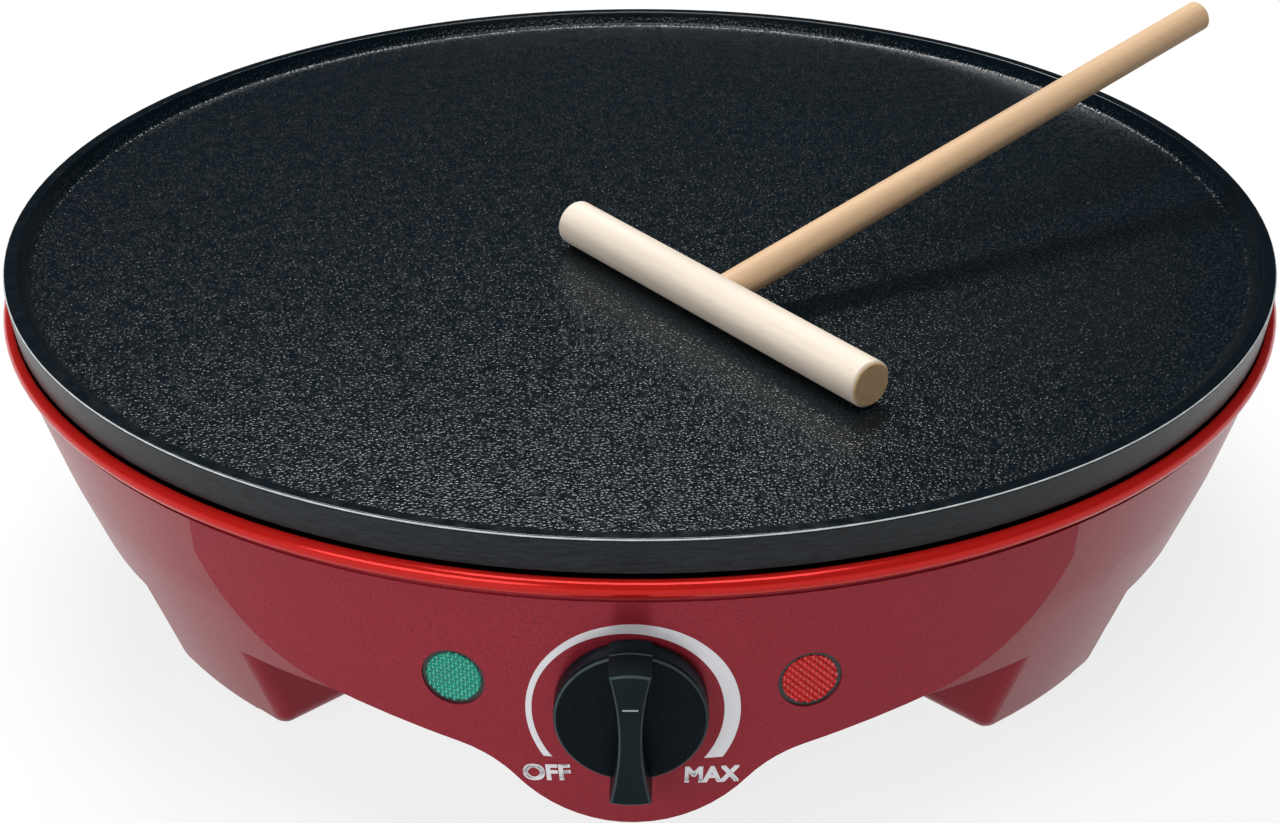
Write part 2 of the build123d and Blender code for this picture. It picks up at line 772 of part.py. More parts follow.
with BuildPart() as element_clamps:
    strap_length = 2 * (clamp_screw_offset + clamp_end)
    for azimuth in clamp_azimuths:
        with BuildSketch(Plane.XY.offset(clamp_bottom)):
            with Locations(Location(at(azimuth, element_ring_r), azimuth - 90)):
                RectangleRounded(strap_length, clamp_width, clamp_thickness)
                with Locations((-clamp_screw_offset, 0), (clamp_screw_offset, 0)):
                    Circle(clamp_screw_d / 2, mode=Mode.SUBTRACT)
        extrude(amount=clamp_thickness)
save(element_clamps, "element_clamps")

with BuildPart() as clamp_screws:
    for azimuth in clamp_azimuths:
        for offset_r in (-clamp_screw_offset, clamp_screw_offset):
            spot = at(azimuth, element_ring_r + offset_r)
            plane = facing_down(spot.X, spot.Y, clamp_bottom)
            add(screw(plane, clamp_screw_d, clamp_thickness + clamp_screw_bite, small_head_d, small_head))
save(clamp_screws, "clamp_screws")


# ---------------------------------------------------------------- heat shield and plate fixing
with BuildPart() as heat_shield:
    with BuildSketch(Plane.XY.offset(shield_z)):
        Circle(shield_r)
    extrude(amount=shield_thickness)
    with BuildSketch(Plane.XY.offset(shield_z)):
        Circle(shield_r)
        Circle(shield_r - shield_thickness, mode=Mode.SUBTRACT)
    extrude(amount=shield_rim)
    with BuildSketch(Plane.XY.offset(shield_z)):
        for azimuth in leg_azimuths:
            with Locations(at(azimuth, post_r)):
                Circle(plate_screw_hole_d / 2)
        with Locations(at(earth_azimuth, earth_r)):
            Circle(plate_screw_hole_d / 2)
        with Locations(tail_spot(ring_ends[0], 1), tail_spot(ring_ends[1], -1)):
            Circle(shield_hole_d / 2)
        with Locations(*shield_passages):
            Circle(lead_hole_d / 2)
    extrude(amount=shield_thickness, mode=Mode.SUBTRACT)
save(heat_shield, "heat_shield")

with BuildPart() as insulating_washers:
    with BuildSketch(Plane.XY.offset(post_top)):
        for azimuth in leg_azimuths:
            with Locations(at(azimuth, post_r)):
                Circle(washer_d / 2)
                Circle(plate_screw_hole_d / 2, mode=Mode.SUBTRACT)
    extrude(amount=washer_thickness)
save(insulating_washers, "insulating_washers")

with BuildPart() as plate_screws:
    length = plate_post_bottom + plate_screw_bite - post_seat_z
    for azimuth in leg_azimuths:
        spot = at(azimuth, post_r)
        plane = facing_down(spot.X, spot.Y, post_seat_z)
        add(screw(plane, plate_screw_d, length, plate_screw_head_d, plate_screw_head))
save(plate_screws, "plate_screws")


# ---------------------------------------------------------------- thermostat
dial_plane = panel_plane(0, dial_z)
seat_plane = dial_plane.offset(-seat_depth)

with BuildPart() as thermostat:
    with BuildSketch(seat_plane):
        RectangleRounded(thermostat_w, thermostat_h, 2 * knob_edge_round)
    extrude(amount=-thermostat_depth)
    with BuildSketch(seat_plane):
        Circle(bush_d / 2)
    extrude(amount=seat_depth - bush_sink)
    with BuildSketch(dial_plane.offset(-bush_sink)):
        Circle(shaft_d / 2 + shaft_running_clearance)
    extrude(amount=-(seat_depth - bush_sink + shaft_in_body), mode=Mode.SUBTRACT)
    with BuildSketch(seat_plane):
        with Locations((-thermostat_screw_pitch / 2, 0), (thermostat_screw_pitch / 2, 0)):
            Circle(thermostat_screw_d / 2)
    extrude(amount=-thermostat_screw_length, mode=Mode.SUBTRACT)
save(thermostat, "thermostat")

with BuildPart() as thermostat_tabs:
    with BuildSketch(seat_plane.offset(-thermostat_depth)):
        with Locations((-thermostat_tab_pitch / 2, 0), (thermostat_tab_pitch / 2, 0)):
            Rectangle(tab_thickness, tab_width)
    extrude(amount=-tab_length)
save(thermostat_tabs, "thermostat_tabs")

with BuildPart() as thermostat_screws:
    for x in (-thermostat_screw_pitch / 2, thermostat_screw_pitch / 2):
        plane = dial_plane.offset(-thermostat_screw_sink)
        plane = plane.shift_origin(plane.from_local_coords((x, 0, 0)))
        length = seat_depth - thermostat_screw_sink + thermostat_screw_length
        add(countersunk(plane, thermostat_screw_d, length, thermostat_screw_head_d))
save(thermostat_screws, "thermostat_screws")

with BuildPart() as sensor_bulb:
    with BuildSketch(Plane.YZ):
        with Locations((sensor_y, plate_bottom - sensor_d / 2)):
            Circle(sensor_d / 2)
    extrude(amount=sensor_length / 2, both=True)
    fillet(sensor_bulb.edges().filter_by(GeomType.CIRCLE), radius=sensor_d / 4)
save(sensor_bulb, "sensor_bulb")

with BuildPart() as sensor_clip:
    add(strap_clip(clip_width, sensor_d, 0, sensor_y))
save(sensor_clip, "sensor_clip")

with BuildPart() as thermal_fuse:
    with BuildSketch(Plane.YZ.offset(fuse_x)):
        with Locations((fuse_y, plate_bottom - fuse_d / 2)):
            Circle(fuse_d / 2)
    extrude(amount=fuse_length / 2, both=True)
save(thermal_fuse, "thermal_fuse")

with BuildPart() as fuse_clip:
    add(strap_clip(clip_width, fuse_d, fuse_x, fuse_y))
save(fuse_clip, "fuse_clip")

with BuildPart() as clip_screws:
    for diameter, x, y in ((sensor_d, 0, sensor_y), (fuse_d, fuse_x, fuse_y)):
        spot = clip_screw_spot(diameter, x, y)
        plane = facing_down(spot[0], spot[1], plate_bottom - clip_thickness)
        add(screw(plane, clip_screw_d, clip_thickness + clip_screw_bite, small_head_d, small_head))
save(clip_screws, "clip_screws")


# ---------------------------------------------------------------- dial: shaft and knob
def shaft_section():
    """D-shaped section of the shaft and of the knob's bore."""
    Circle(shaft_d / 2)
    with Locations((0, shaft_d / 2 - shaft_flat)):
        Rectangle(shaft_d, shaft_d, align=(Align.CENTER, Align.MIN), mode=Mode.SUBTRACT)


knob_back = dial_plane.offset(knob_standoff)
knob_face = knob_back.offset(knob_disc)

with BuildPart() as dial_shaft:
    with BuildSketch(seat_plane.offset(-shaft_in_body)):
        Circle(shaft_d / 2)
    extrude(amount=shaft_in_body + seat_depth + knob_standoff)
    with BuildSketch(knob_back):
        shaft_section()
    extrude(amount=shaft_reach - knob_standoff)
save(dial_shaft, "dial_shaft")

with BuildPart() as dial_knob:
    with BuildSketch(knob_back):
        Circle(knob_d / 2)
    extrude(amount=knob_disc)
    fillet(dial_knob.edges().group_by(Axis(knob_back.origin, knob_back.z_dir))[-1], radius=knob_edge_round)
    # waisted grip bar whose ends follow the disc's edge
    grip_r = knob_d / 2 + grip_overhang
    end_y = (grip_r**2 - (grip_end_width / 2) ** 2) ** 0.5
    with BuildSketch(knob_back):
        with BuildLine():
            right = ThreePointArc(
                (grip_end_width / 2, -end_y),
                (grip_waist / 2, 0),
                (grip_end_width / 2, end_y),
            )
            left = ThreePointArc(
                (-grip_end_width / 2, end_y),
                (-grip_waist / 2, 0),
                (-grip_end_width / 2, -end_y),
            )
            ThreePointArc(right @ 1, (0, grip_r), left @ 0)
            ThreePointArc(left @ 1, (0, -grip_r), right @ 0)
        make_face()
    extrude(amount=knob_disc + grip_height)
    top_edges = dial_knob.edges().group_by(Axis(knob_face.origin, knob_face.z_dir))[-1]
    fillet(top_edges, radius=grip_round)
    with BuildSketch(knob_back):
        Circle(knob_d / 2 - knob_skirt)
        Circle(knob_hub_d / 2, mode=Mode.SUBTRACT)
    extrude(amount=knob_recess, mode=Mode.SUBTRACT)
    with BuildSketch(knob_back):
        shaft_section()
    extrude(amount=shaft_reach - knob_standoff, mode=Mode.SUBTRACT)
save(dial_knob, "dial_knob")


# ---------------------------------------------------------------- pilot lamps
def lamp_holder(plane):
    """Black sleeve behind the panel that carries a lens and its lamp."""
    with BuildPart() as piece:
        with BuildSketch(plane.offset(-lamp_sink)):
            Circle(lamp_hole_d / 2)
        extrude(amount=-(lamp_body_length - lamp_sink))
        with BuildSketch(plane.offset(-seat_depth)):
            Circle(lamp_flange_d / 2)
        extrude(amount=-lamp_flange)
        with BuildSketch(plane.offset(-lamp_sink)):
            Circle(lamp_lens_d / 2)
        extrude(amount=-lamp_lens_depth, mode=Mode.SUBTRACT)
        with BuildSketch(plane.offset(-lamp_sink)):
            Circle(lamp_lens_d / 2 - lamp_flange)
        extrude(amount=-(lamp_body_length - lamp_back_wall - lamp_sink), mode=Mode.SUBTRACT)
    return piece.part


def lamp_lens(plane):
    """Clear coloured lens with a shallow domed face."""
    dome_r = ((lamp_lens_d / 2) ** 2 + lamp_dome**2) / (2 * lamp_dome)
    with BuildPart() as piece:
        with BuildSketch(plane.offset(-lamp_sink - lamp_lens_depth)):
            Circle(lamp_lens_d / 2)
        extrude(amount=lamp_lens_depth + lamp_dome)
        with Locations(plane.offset(lamp_dome - lamp_sink - dome_r).location):
            Sphere(dome_r, mode=Mode.INTERSECT)
    return piece.part


def neon_lamp(plane):
    """Small glow lamp that stands on the holder's back wall."""
    with BuildPart() as piece:
        with BuildSketch(plane.offset(-(lamp_body_length - lamp_back_wall))):
            Circle(neon_d / 2)
        extrude(amount=neon_length)
        tip = piece.edges().group_by(Axis(plane.origin, plane.z_dir))[-1]
        fillet(tip, radius=neon_d / 2.2)
    return piece.part


for colour, azimuth in (("green", -lamp_azimuth), ("red", lamp_azimuth)):
    with BuildPart() as holder:
        add(lamp_holder(panel_plane(azimuth, lamp_z)))
    save(holder, f"{colour}_lamp_holder")
    with BuildPart() as lens:
        add(lamp_lens(panel_plane(azimuth, lamp_z)))
    save(lens, f"{colour}_lens")
    with BuildPart() as neon:
        add(neon_lamp(panel_plane(azimuth, lamp_z)))
    save(neon, f"{colour}_neon_lamp")


# ---------------------------------------------------------------- cord entry
gland_plane = radial_plane(180, gland_face_y, gland_z)

with BuildPart() as cord_gland:
    with BuildSketch(gland_plane):
        Circle(gland_flange_d / 2)
    extrude(amount=gland_flange)
    with BuildSketch(gland_plane):
        Circle(gland_neck_d / 2)
    extrude(amount=-(gland_boss_depth + gland_nut))
    with BuildSketch(gland_plane.offset(gland_flange)):
        Circle(gland_neck_d / 2)
    with BuildSketch(gland_plane.offset(gland_flange + gland_nozzle)):
        Circle(gland_nozzle_d / 2)
    loft()
    with BuildSketch(gland_plane.offset(gland_flange + gland_nozzle)):
        Circle(gland_bore_d / 2)
    extrude(amount=-(gland_flange + gland_nozzle), mode=Mode.SUBTRACT)
    with BuildSketch(gland_plane.offset(gland_flange / 2)):
        Circle(gland_throat_d / 2)
    extrude(amount=-(gland_flange / 2 + gland_boss_depth + gland_nut), mode=Mode.SUBTRACT)
save(cord_gland, "cord_gland")

with BuildPart() as lock_nut:
    with BuildSketch(gland_plane.offset(-gland_boss_depth)):
        RegularPolygon(gland_nut_d / 2, 6)
        Circle(gland_neck_d / 2, mode=Mode.SUBTRACT)
    extrude(amount=-gland_nut)
save(lock_nut, "gland_nut")


# ---------------------------------------------------------------- terminal block
block_z = cover_top + block_pad
pole_z = block_z + block_h * 0.4
block_front = block_y - block_d / 2
pole_places = [(x, pole_z) for x in (-pole_pitch, 0, pole_pitch)]
block_screw_places = [(x, block_y) for x in (-block_screw_pitch / 2, block_screw_pitch / 2)]
wire_screw_places = [
    (x, block_y + y) for x in (-pole_pitch, 0, pole_pitch) for y in (-block_d / 4, block_d / 4)
]

with BuildPart() as terminal_block:
    with BuildSketch(Plane.XY.offset(block_z)):
        with Locations((0, block_y)):
            Rectangle(block_w, block_d)
    extrude(amount=block_h)
    with BuildSketch(Plane.XZ.offset(-block_front)):
        with Locations(*pole_places):
            Circle(pole_sleeve_d / 2)
    extrude(amount=-block_d, mode=Mode.SUBTRACT)
    with BuildSketch(Plane.XY.offset(block_z)):
        with Locations(*block_screw_places):
            Circle(block_screw_d / 2)
    extrude(amount=block_h, mode=Mode.SUBTRACT)
    with BuildSketch(Plane.XY.offset(block_z + block_h)):
        with Locations(*wire_screw_places):
            Circle(wire_screw_d / 2)
    extrude(amount=-(block_z + block_h - pole_z), mode=Mode.SUBTRACT)
save(terminal_block, "terminal_block")

with BuildPart() as terminal_sleeves:
    with BuildSketch(Plane.XZ.offset(-block_front)):
        with Locations(*pole_places):
            Circle(pole_sleeve_d / 2)
            Circle(pole_bore_d / 2, mode=Mode.SUBTRACT)
    extrude(amount=-block_d)
    with BuildSketch(Plane.XY.offset(pole_z)):
        with Locations(*wire_screw_places):
            Circle(wire_screw_d / 2)
    extrude(amount=pole_sleeve_d, mode=Mode.SUBTRACT)
save(terminal_sleeves, "terminal_sleeves")

with BuildPart() as wire_screws:
    with BuildSketch(Plane.XY.offset(pole_z)):
        with Locations(*wire_screw_places):
            Circle(wire_screw_d / 2)
    extrude(amount=wire_screw_length)
save(wire_screws, "wire_screws")

with BuildPart() as block_screws:
    for x, y in block_screw_places:
        plane = Plane.XY.offset(block_z + block_h)
        plane = plane.shift_origin((x, y, plane.origin.Z))
        add(screw(plane, block_screw_d, block_h + block_pad, small_head_d, small_head))
save(block_screws, "block_screws")

with BuildPart() as earth_tag:
    spot = at(earth_azimuth, earth_r)
    with BuildSketch(Plane.XY.offset(shield_z)):
        with Locations(spot):
            Circle(earth_tag_d / 2)
            Rectangle(tab_width, earth_tag_length, align=(Align.CENTER, Align.MAX))
            Circle(plate_screw_d / 2, mode=Mode.SUBTRACT)
    extrude(amount=-tab_thickness)
save(earth_tag, "earth_tag")

with BuildPart() as earth_screw:
    length = tab_thickness + shield_thickness + plate_screw_bite
    plane = facing_down(spot.X, spot.Y, shield_z - tab_thickness)
    add(screw(plane, plate_screw_d, length, plate_screw_head_d, plate_screw_head))
save(earth_screw, "earth_screw")


# ---------------------------------------------------------------- connectors and leads
def tab_connector(plane):
    """Push-on connector: a slot for the tab, then a closed barrel, inwards from the plane."""
    with BuildPart() as piece:
        with BuildSketch(plane):
            Rectangle(connector_thickness, connector_w)
        extrude(amount=-(connector_grip + connector_barrel))
        with BuildSketch(plane):
            Rectangle(tab_thickness + 2 * tab_play, tab_width + 2 * tab_play)
        extrude(amount=-connector_grip, mode=Mode.SUBTRACT)
    return piece.part


def bend_radii(route):
    """Radius at each corner of a route: as wide as its runs allow, up to the widest."""
    radii = []
    for before, corner, after in zip(route, route[1:], route[2:]):
        first = corner - before
        second = after - corner
        half_turn = radians(first.get_angle(second)) / 2
        room = 0.45 * min(first.length, second.length)
        radii.append(min(room / tan(half_turn), lead_widest_bend))
    return radii


def lead(name, points, diameter):
    """One lead along straight runs that are joined by arcs."""
    route = [Vector(*point) for point in points]
    radii = bend_radii(route)
    print(name, "bend radii", [round(radius, 1) for radius in radii])
    with BuildPart() as piece:
        with BuildLine() as line:
            FilletPolyline(*route, radius=radii)
        with BuildSketch(Plane(origin=route[0], z_dir=route[1] - route[0])):
            Circle(diameter / 2)
        sweep(path=line.wire())
    length = line.wire().length
    section = pi * (diameter / 2) ** 2
    print(name, "length", round(length, 1), "volume share", round(piece.part.volume / (section * length), 4))
    return piece.part


def lead_core(x):
    """Bare end of a lead inside the terminal block."""
    with BuildPart() as piece:
        with BuildSketch(Plane(origin=(x, block_front, core_z), z_dir=(0, 1, 0))):
            Circle(lead_core_d / 2)
        extrude(amount=lead_bite)
    return piece.part


core_z = pole_z - (lead_core_d / 2 + tab_play)
lead_floor = cover_top + lead_d / 2 + lead_rest
thermostat_back = seat_plane.offset(-thermostat_depth)
tab_root = thermostat_back.offset(-connector_gap)
barrel_end = tab_root.offset(-(connector_grip + connector_barrel))
element_tab_z = bead_bottom - terminal_length - connector_gap
element_end_z = element_tab_z - connector_grip - connector_barrel
terminal_east = tail_spot(ring_ends[0], 1)
terminal_west = tail_spot(ring_ends[1], -1)
fuse_z = plate_bottom - fuse_d / 2
sensor_z = plate_bottom - sensor_d / 2

with BuildPart() as lead_connectors:
    for x in (-thermostat_tab_pitch / 2, thermostat_tab_pitch / 2):
        add(tab_connector(tab_root.shift_origin(tab_root.from_local_coords((x, 0, 0)))))
    for spot in (terminal_east, terminal_west):
        add(tab_connector(Plane(origin=(*spot, element_tab_z), x_dir=(0, 1, 0), z_dir=(0, 0, 1))))
save(lead_connectors, "lead_connectors")

west_tab = barrel_end.from_local_coords((-thermostat_tab_pitch / 2, 0, 0))
west_out = barrel_end.offset(-lead_end_reach).from_local_coords((-thermostat_tab_pitch / 2, 0, 0))
east_tab = barrel_end.from_local_coords((thermostat_tab_pitch / 2, 0, 0))
east_out = barrel_end.offset(-lead_end_reach).from_local_coords((thermostat_tab_pitch / 2, 0, 0))

with BuildPart() as line_lead:
    route = (
        west_tab,
        west_out,
        (-26, -88, lead_floor),
        (-44, -40, lead_floor),
        (-44, 40, lead_floor),
        (-28, block_front - 16, lead_floor),
        (-pole_pitch, block_front - 5, core_z),
        (-pole_pitch, block_front, core_z),
    )
    add(lead("line lead", route, lead_d))
    add(lead_core(-pole_pitch))
save(line_lead, "line_lead")

with BuildPart() as heater_lead:
    route = (
        east_tab,
        east_out,
        (4, -88, lead_floor),
        (0, -30, lead_floor),
        (-9, 30, lead_floor),
        (terminal_west[0], terminal_west[1] - 18, lead_floor),
        (*terminal_west, lead_floor),
        (*terminal_west, element_end_z),
    )
    add(lead("heater lead", route, lead_d))
save(heater_lead, "heater_lead")

with BuildPart() as fuse_leads:
    route = (
        (fuse_west + lead_end_reach, fuse_y, fuse_z),
        (fuse_west, fuse_y, fuse_z),
        (fuse_west, fuse_y, pole_z + 6),
        (terminal_east[0], terminal_east[1] - 26, lead_floor),
        (*terminal_east, lead_floor),
        (*terminal_east, element_end_z),
    )
    add(lead("fuse to element lead", route, lead_d))
    route = (
        (fuse_east - lead_end_reach, fuse_y, fuse_z),
        (fuse_east, fuse_y, fuse_z),
        (fuse_east, fuse_y, pole_z + 6),
        (fuse_east - 6, fuse_y + 22, lead_floor),
        (28, block_front - 16, lead_floor),
        (pole_pitch, block_front - 5, core_z),
        (pole_pitch, block_front, core_z),
    )
    add(lead("fuse to block lead", route, lead_d))
    add(lead_core(pole_pitch))
save(fuse_leads, "fuse_leads")

with BuildPart() as earth_lead:
    tag_end = at(earth_azimuth, earth_r)
    tag_y = tag_end.Y - earth_tag_length + lead_d
    route = (
        (0, block_front, core_z),
        (0, block_front - 20, core_z),
        (16, tag_y - 20, core_z + 7),
        (tag_end.X, tag_y - 14, core_z + 12),
        (tag_end.X, tag_y, core_z + 18),
        (tag_end.X, tag_y, shield_z - tab_thickness),
    )
    add(lead("earth lead", route, lead_d))
    add(lead_core(0))
save(earth_lead, "earth_lead")

with BuildPart() as capillary:
    entry = thermostat_back.from_local_coords((capillary_x, capillary_v, 0))
    before_entry = thermostat_back.offset(-lead_end_reach).from_local_coords((capillary_x, capillary_v, 0))
    route = (
        (sensor_length / 2, sensor_y, sensor_z),
        (sensor_east, sensor_y, sensor_z),
        (sensor_east, sensor_y, shield_z - lead_end_reach),
        (sensor_east - 8, sensor_y - 30, entry.Z),
        before_entry,
        entry,
    )
    add(lead("capillary", route, capillary_d))
save(capillary, "capillary")


# ---------------------------------------------------------------- wooden batter spreader
bar_axis = Vector(1, 0, 0).rotate(Axis.Z, spreader_heading)
level_handle = Vector(0, 1, 0).rotate(Axis.Z, spreader_heading)
handle_axis = level_handle * cos(radians(spreader_tilt)) + Vector(0, 0, sin(radians(spreader_tilt)))
bar_centre = Vector(spreader_x, spreader_y, cook_z + spreader_clearance + spreader_bar_d / 2)
bar_plane = Plane(origin=bar_centre, x_dir=level_handle, z_dir=bar_axis)
handle_plane = Plane(origin=bar_centre, x_dir=bar_axis, z_dir=handle_axis)

with BuildPart() as spreader_bar:
    with BuildSketch(bar_plane):
        Circle(spreader_bar_d / 2)
    extrude(amount=spreader_bar_length / 2, both=True)
    chamfer(spreader_bar.edges().filter_by(GeomType.CIRCLE), length=spreader_chamfer)
    with BuildSketch(handle_plane.offset(spreader_socket)):
        Circle(spreader_handle_d / 2)
    extrude(amount=spreader_bar_d, mode=Mode.SUBTRACT)
save(spreader_bar, "spreader_bar")

with BuildPart() as spreader_handle:
    with BuildSketch(handle_plane.offset(spreader_socket)):
        Circle(spreader_handle_d / 2)
    extrude(amount=spreader_handle_length - spreader_socket)
    tip = spreader_handle.edges().sort_by(Axis(bar_centre, handle_axis))[-1]
    chamfer(tip, length=spreader_chamfer)
save(spreader_handle, "spreader_handle")
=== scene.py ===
"""Finishes and fine pieces of a countertop electric crepe maker.

The base, the griddle plate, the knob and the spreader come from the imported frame. This file
gives each of them its finish and adds the dial's print, the pointer's mark and the lenses'
lattice. Metres, +Z up, the front with the dial faces -Y.
"""

import json
from math import asin, cos, pi, radians, sin, tan

import bmesh
import bpy
from mathutils import Matrix, Vector


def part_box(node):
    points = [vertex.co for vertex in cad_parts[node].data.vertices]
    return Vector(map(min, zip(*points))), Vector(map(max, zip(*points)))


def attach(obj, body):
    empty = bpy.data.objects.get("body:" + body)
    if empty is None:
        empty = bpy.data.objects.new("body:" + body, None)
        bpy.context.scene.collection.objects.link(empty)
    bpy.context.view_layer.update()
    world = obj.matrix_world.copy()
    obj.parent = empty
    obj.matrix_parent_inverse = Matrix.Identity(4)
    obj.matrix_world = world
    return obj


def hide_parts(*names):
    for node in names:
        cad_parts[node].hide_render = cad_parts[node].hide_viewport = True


bl_info = {
    "name": "Electric Crepe Maker",
    "version": (1, 0, 0),
    "blender": (4, 5, 0),
    "location": "3D View > Sidebar > Crepe Maker",
    "description": "Finishes and fine pieces of a countertop electric crepe maker",
    "category": "Object",
}

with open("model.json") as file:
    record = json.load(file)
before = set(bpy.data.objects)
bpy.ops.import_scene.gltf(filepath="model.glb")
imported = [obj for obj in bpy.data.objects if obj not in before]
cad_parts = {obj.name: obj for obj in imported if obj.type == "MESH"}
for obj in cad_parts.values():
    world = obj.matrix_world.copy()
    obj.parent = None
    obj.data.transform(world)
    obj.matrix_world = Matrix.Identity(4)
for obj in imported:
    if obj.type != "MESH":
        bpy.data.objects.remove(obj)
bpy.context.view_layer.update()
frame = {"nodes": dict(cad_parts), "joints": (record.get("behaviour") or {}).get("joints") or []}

MM = 0.001

# ---------------------------------------------------------------- sizes that the frame gives
rim_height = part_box("cooking_plate")[1].z
lip_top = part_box("housing")[1].z
bar_low, bar_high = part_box("spreader_bar")
bar_centre = (bar_low + bar_high) / 2
knob_joint = next(joint for joint in frame["joints"] if joint["name"] == "knob_turn")
dial_height = knob_joint["pos_m"][2]
panel_lean = asin(-knob_joint["axis"][2])

# ---------------------------------------------------------------- sizes of the base and the plate
rim_radius = 156.0 * MM
lip_seat = 155.05 * MM         # radius of the highest line of the rolled lip
crease_radius = 155.2 * MM     # the bowl's side and the front panel start here, under the lip
crease_height = 69.0 * MM

# ---------------------------------------------------------------- sizes on the front panel
knob_disc = 6.0 * MM           # from the panel to the front of the knob's disc
knob_grip = 13.4 * MM          # from the panel to the front of its grip
mark_size = (3.2 * MM, 0.36 * MM, 0.12 * MM)
mark_rise = 8.0 * MM           # from the knob's axis up to the pointer's mark
mark_lift = 0.05 * MM
lamp_azimuth = radians(13.7)   # each lamp's angle from the dial, round the plate's axis
lamp_height = 47.2 * MM
lens_sink = 0.6 * MM           # the foot of the lens' beads lies this far under the panel
print_start = -170.0 * MM      # the print is laid out here, before the panel
print_lift = 0.02 * MM
print_thickness = 0.08 * MM
scale_place = (-0.7 * MM, print_start, 41.7 * MM)
scale_stretch = 1.058          # the printed scale is a little taller than wide
scale_shift = (1.04 * MM, 0.0, -0.05 * MM)   # its outer edge against its inner one
word_spots = (
    # word, left end, right end, height of its foot, and how it slopes
    ("OFF", -22.4 * MM, -12.4 * MM, 22.9 * MM, radians(5.0)),
    ("MAX", 11.0 * MM, 22.4 * MM, 23.4 * MM, radians(-2.0)),
)

# ---------------------------------------------------------------- sizes of the spreader
bar_heading = radians(-52.0)
bar_half = 54.5 * MM
handle_rise = radians(12.0)
handle_length = 165.0 * MM


# ---------------------------------------------------------------- places on the front panel
def panel_radius(height):
    """Radius of the front panel at a height."""
    return crease_radius - (crease_height - height) * tan(panel_lean)


def panel_place(azimuth, height, proud):
    """Matrix that takes a piece modelled face up at the origin to its place on the panel."""
    level = cos(panel_lean)
    out = Vector((sin(azimuth) * level, -cos(azimuth) * level, -sin(panel_lean)))
    right = Vector((cos(azimuth), sin(azimuth), 0.0))
    up = out.cross(right)
    radius = panel_radius(height)
    spot = Vector((radius * sin(azimuth), -radius * cos(azimuth), height)) + out * proud
    turn = Matrix((right, up, out)).transposed().to_4x4()
    return Matrix.Translation(spot) @ turn


# ---------------------------------------------------------------- modelling helpers
def clear_selection():
    """Leave edit mode and deselect everything."""
    if bpy.context.object and bpy.context.object.mode != "OBJECT":
        bpy.ops.object.mode_set(mode="OBJECT")
    bpy.ops.object.select_all(action="DESELECT")


def pick(piece):
    """Make a piece the only selected one."""
    clear_selection()
    piece.select_set(True)
    bpy.context.view_layer.objects.active = piece


def edit_all():
    """Open the active piece in edit mode, with all of it selected."""
    bpy.ops.object.mode_set(mode="EDIT")
    bpy.ops.mesh.select_all(action="SELECT")


def name_new(name):
    """Name the piece that was just added, with its mesh."""
    piece = bpy.context.object
    piece.name = name
    piece.data.name = name
    return piece


def settle(piece, place=None):
    """Put a piece in its place and move that place into its mesh."""
    pick(piece)
    if place is not None:
        piece.matrix_world = place
    bpy.ops.object.transform_apply(location=True, rotation=True, scale=True)
    return piece


def apply_modifier(piece, kind, **settings):
    """Add a modifier with its settings and apply it."""
    pick(piece)
    modifier = piece.modifiers.new(kind.title(), kind)
    for key, value in settings.items():
        setattr(modifier, key, value)
    bpy.ops.object.modifier_apply(modifier=modifier.name)


def recalculate(piece):
    """Merge doubles and turn every face outwards."""
    pick(piece)
    edit_all()
    bpy.ops.mesh.remove_doubles(threshold=1e-6)
    bpy.ops.mesh.normals_make_consistent(inside=False)
    bpy.ops.object.mode_set(mode="OBJECT")


def paint(piece, material):
    """Give a piece or a node one material."""
    slots = piece.material_slots
    if len(slots) == 0:
        piece.data.materials.append(material)
    for slot in slots:
        slot.material = material


def dress(material, *names):
    """Give nodes of the frame one material."""
    for name in names:
        paint(frame["nodes"][name], material)


# ---------------------------------------------------------------- material helpers
class NodeSheet:
    """The nodes of a material or of the world."""

    def __init__(self, owner):
        owner.use_nodes = True
        self.tree = owner.node_tree
        self.tree.nodes.clear()

    def follow(self, coordinates):
        """Choose the coordinates that the patterns follow."""
        self.place = self.add("ShaderNodeTexCoord").outputs[coordinates]

    def add(self, kind, **settings):
        """Add a node with its settings."""
        node = self.tree.nodes.new(kind)
        for key, value in settings.items():
            setattr(node, key, value)
        return node

    def link(self, source, target):
        """Join two sockets."""
        self.tree.links.new(source, target)

    def spread(self, value, low, high, to_low=0.0, to_high=1.0, soft=False):
        """Stretch a range of values to another range."""
        node = self.add("ShaderNodeMapRange")
        node.interpolation_type = "SMOOTHSTEP" if soft else "LINEAR"
        self.link(value, node.inputs["Value"])
        node.inputs["From Min"].default_value = low
        node.inputs["From Max"].default_value = high
        node.inputs["To Min"].default_value = to_low
        node.inputs["To Max"].default_value = to_high
        return node.outputs["Result"]

    def drift(self, noise, low=0.0, high=1.0):
        """A value that drifts between two others with a noise, which is mostly 0.3 to 0.7."""
        return self.spread(noise, 0.3, 0.7, low, high)

    def calc(self, operation, first, second=None):
        """One step of arithmetic on a socket, with a second socket or a number."""
        node = self.add("ShaderNodeMath", operation=operation)
        self.link(first, node.inputs[0])
        if isinstance(second, (int, float)):
            node.inputs[1].default_value = second
        elif second is not None:
            self.link(second, node.inputs[1])
        return node.outputs["Value"]

    def part_of(self, axis, place=None):
        """One coordinate of a place."""
        node = self.add("ShaderNodeSeparateXYZ")
        self.link(place or self.place, node.inputs["Vector"])
        return node.outputs[axis]


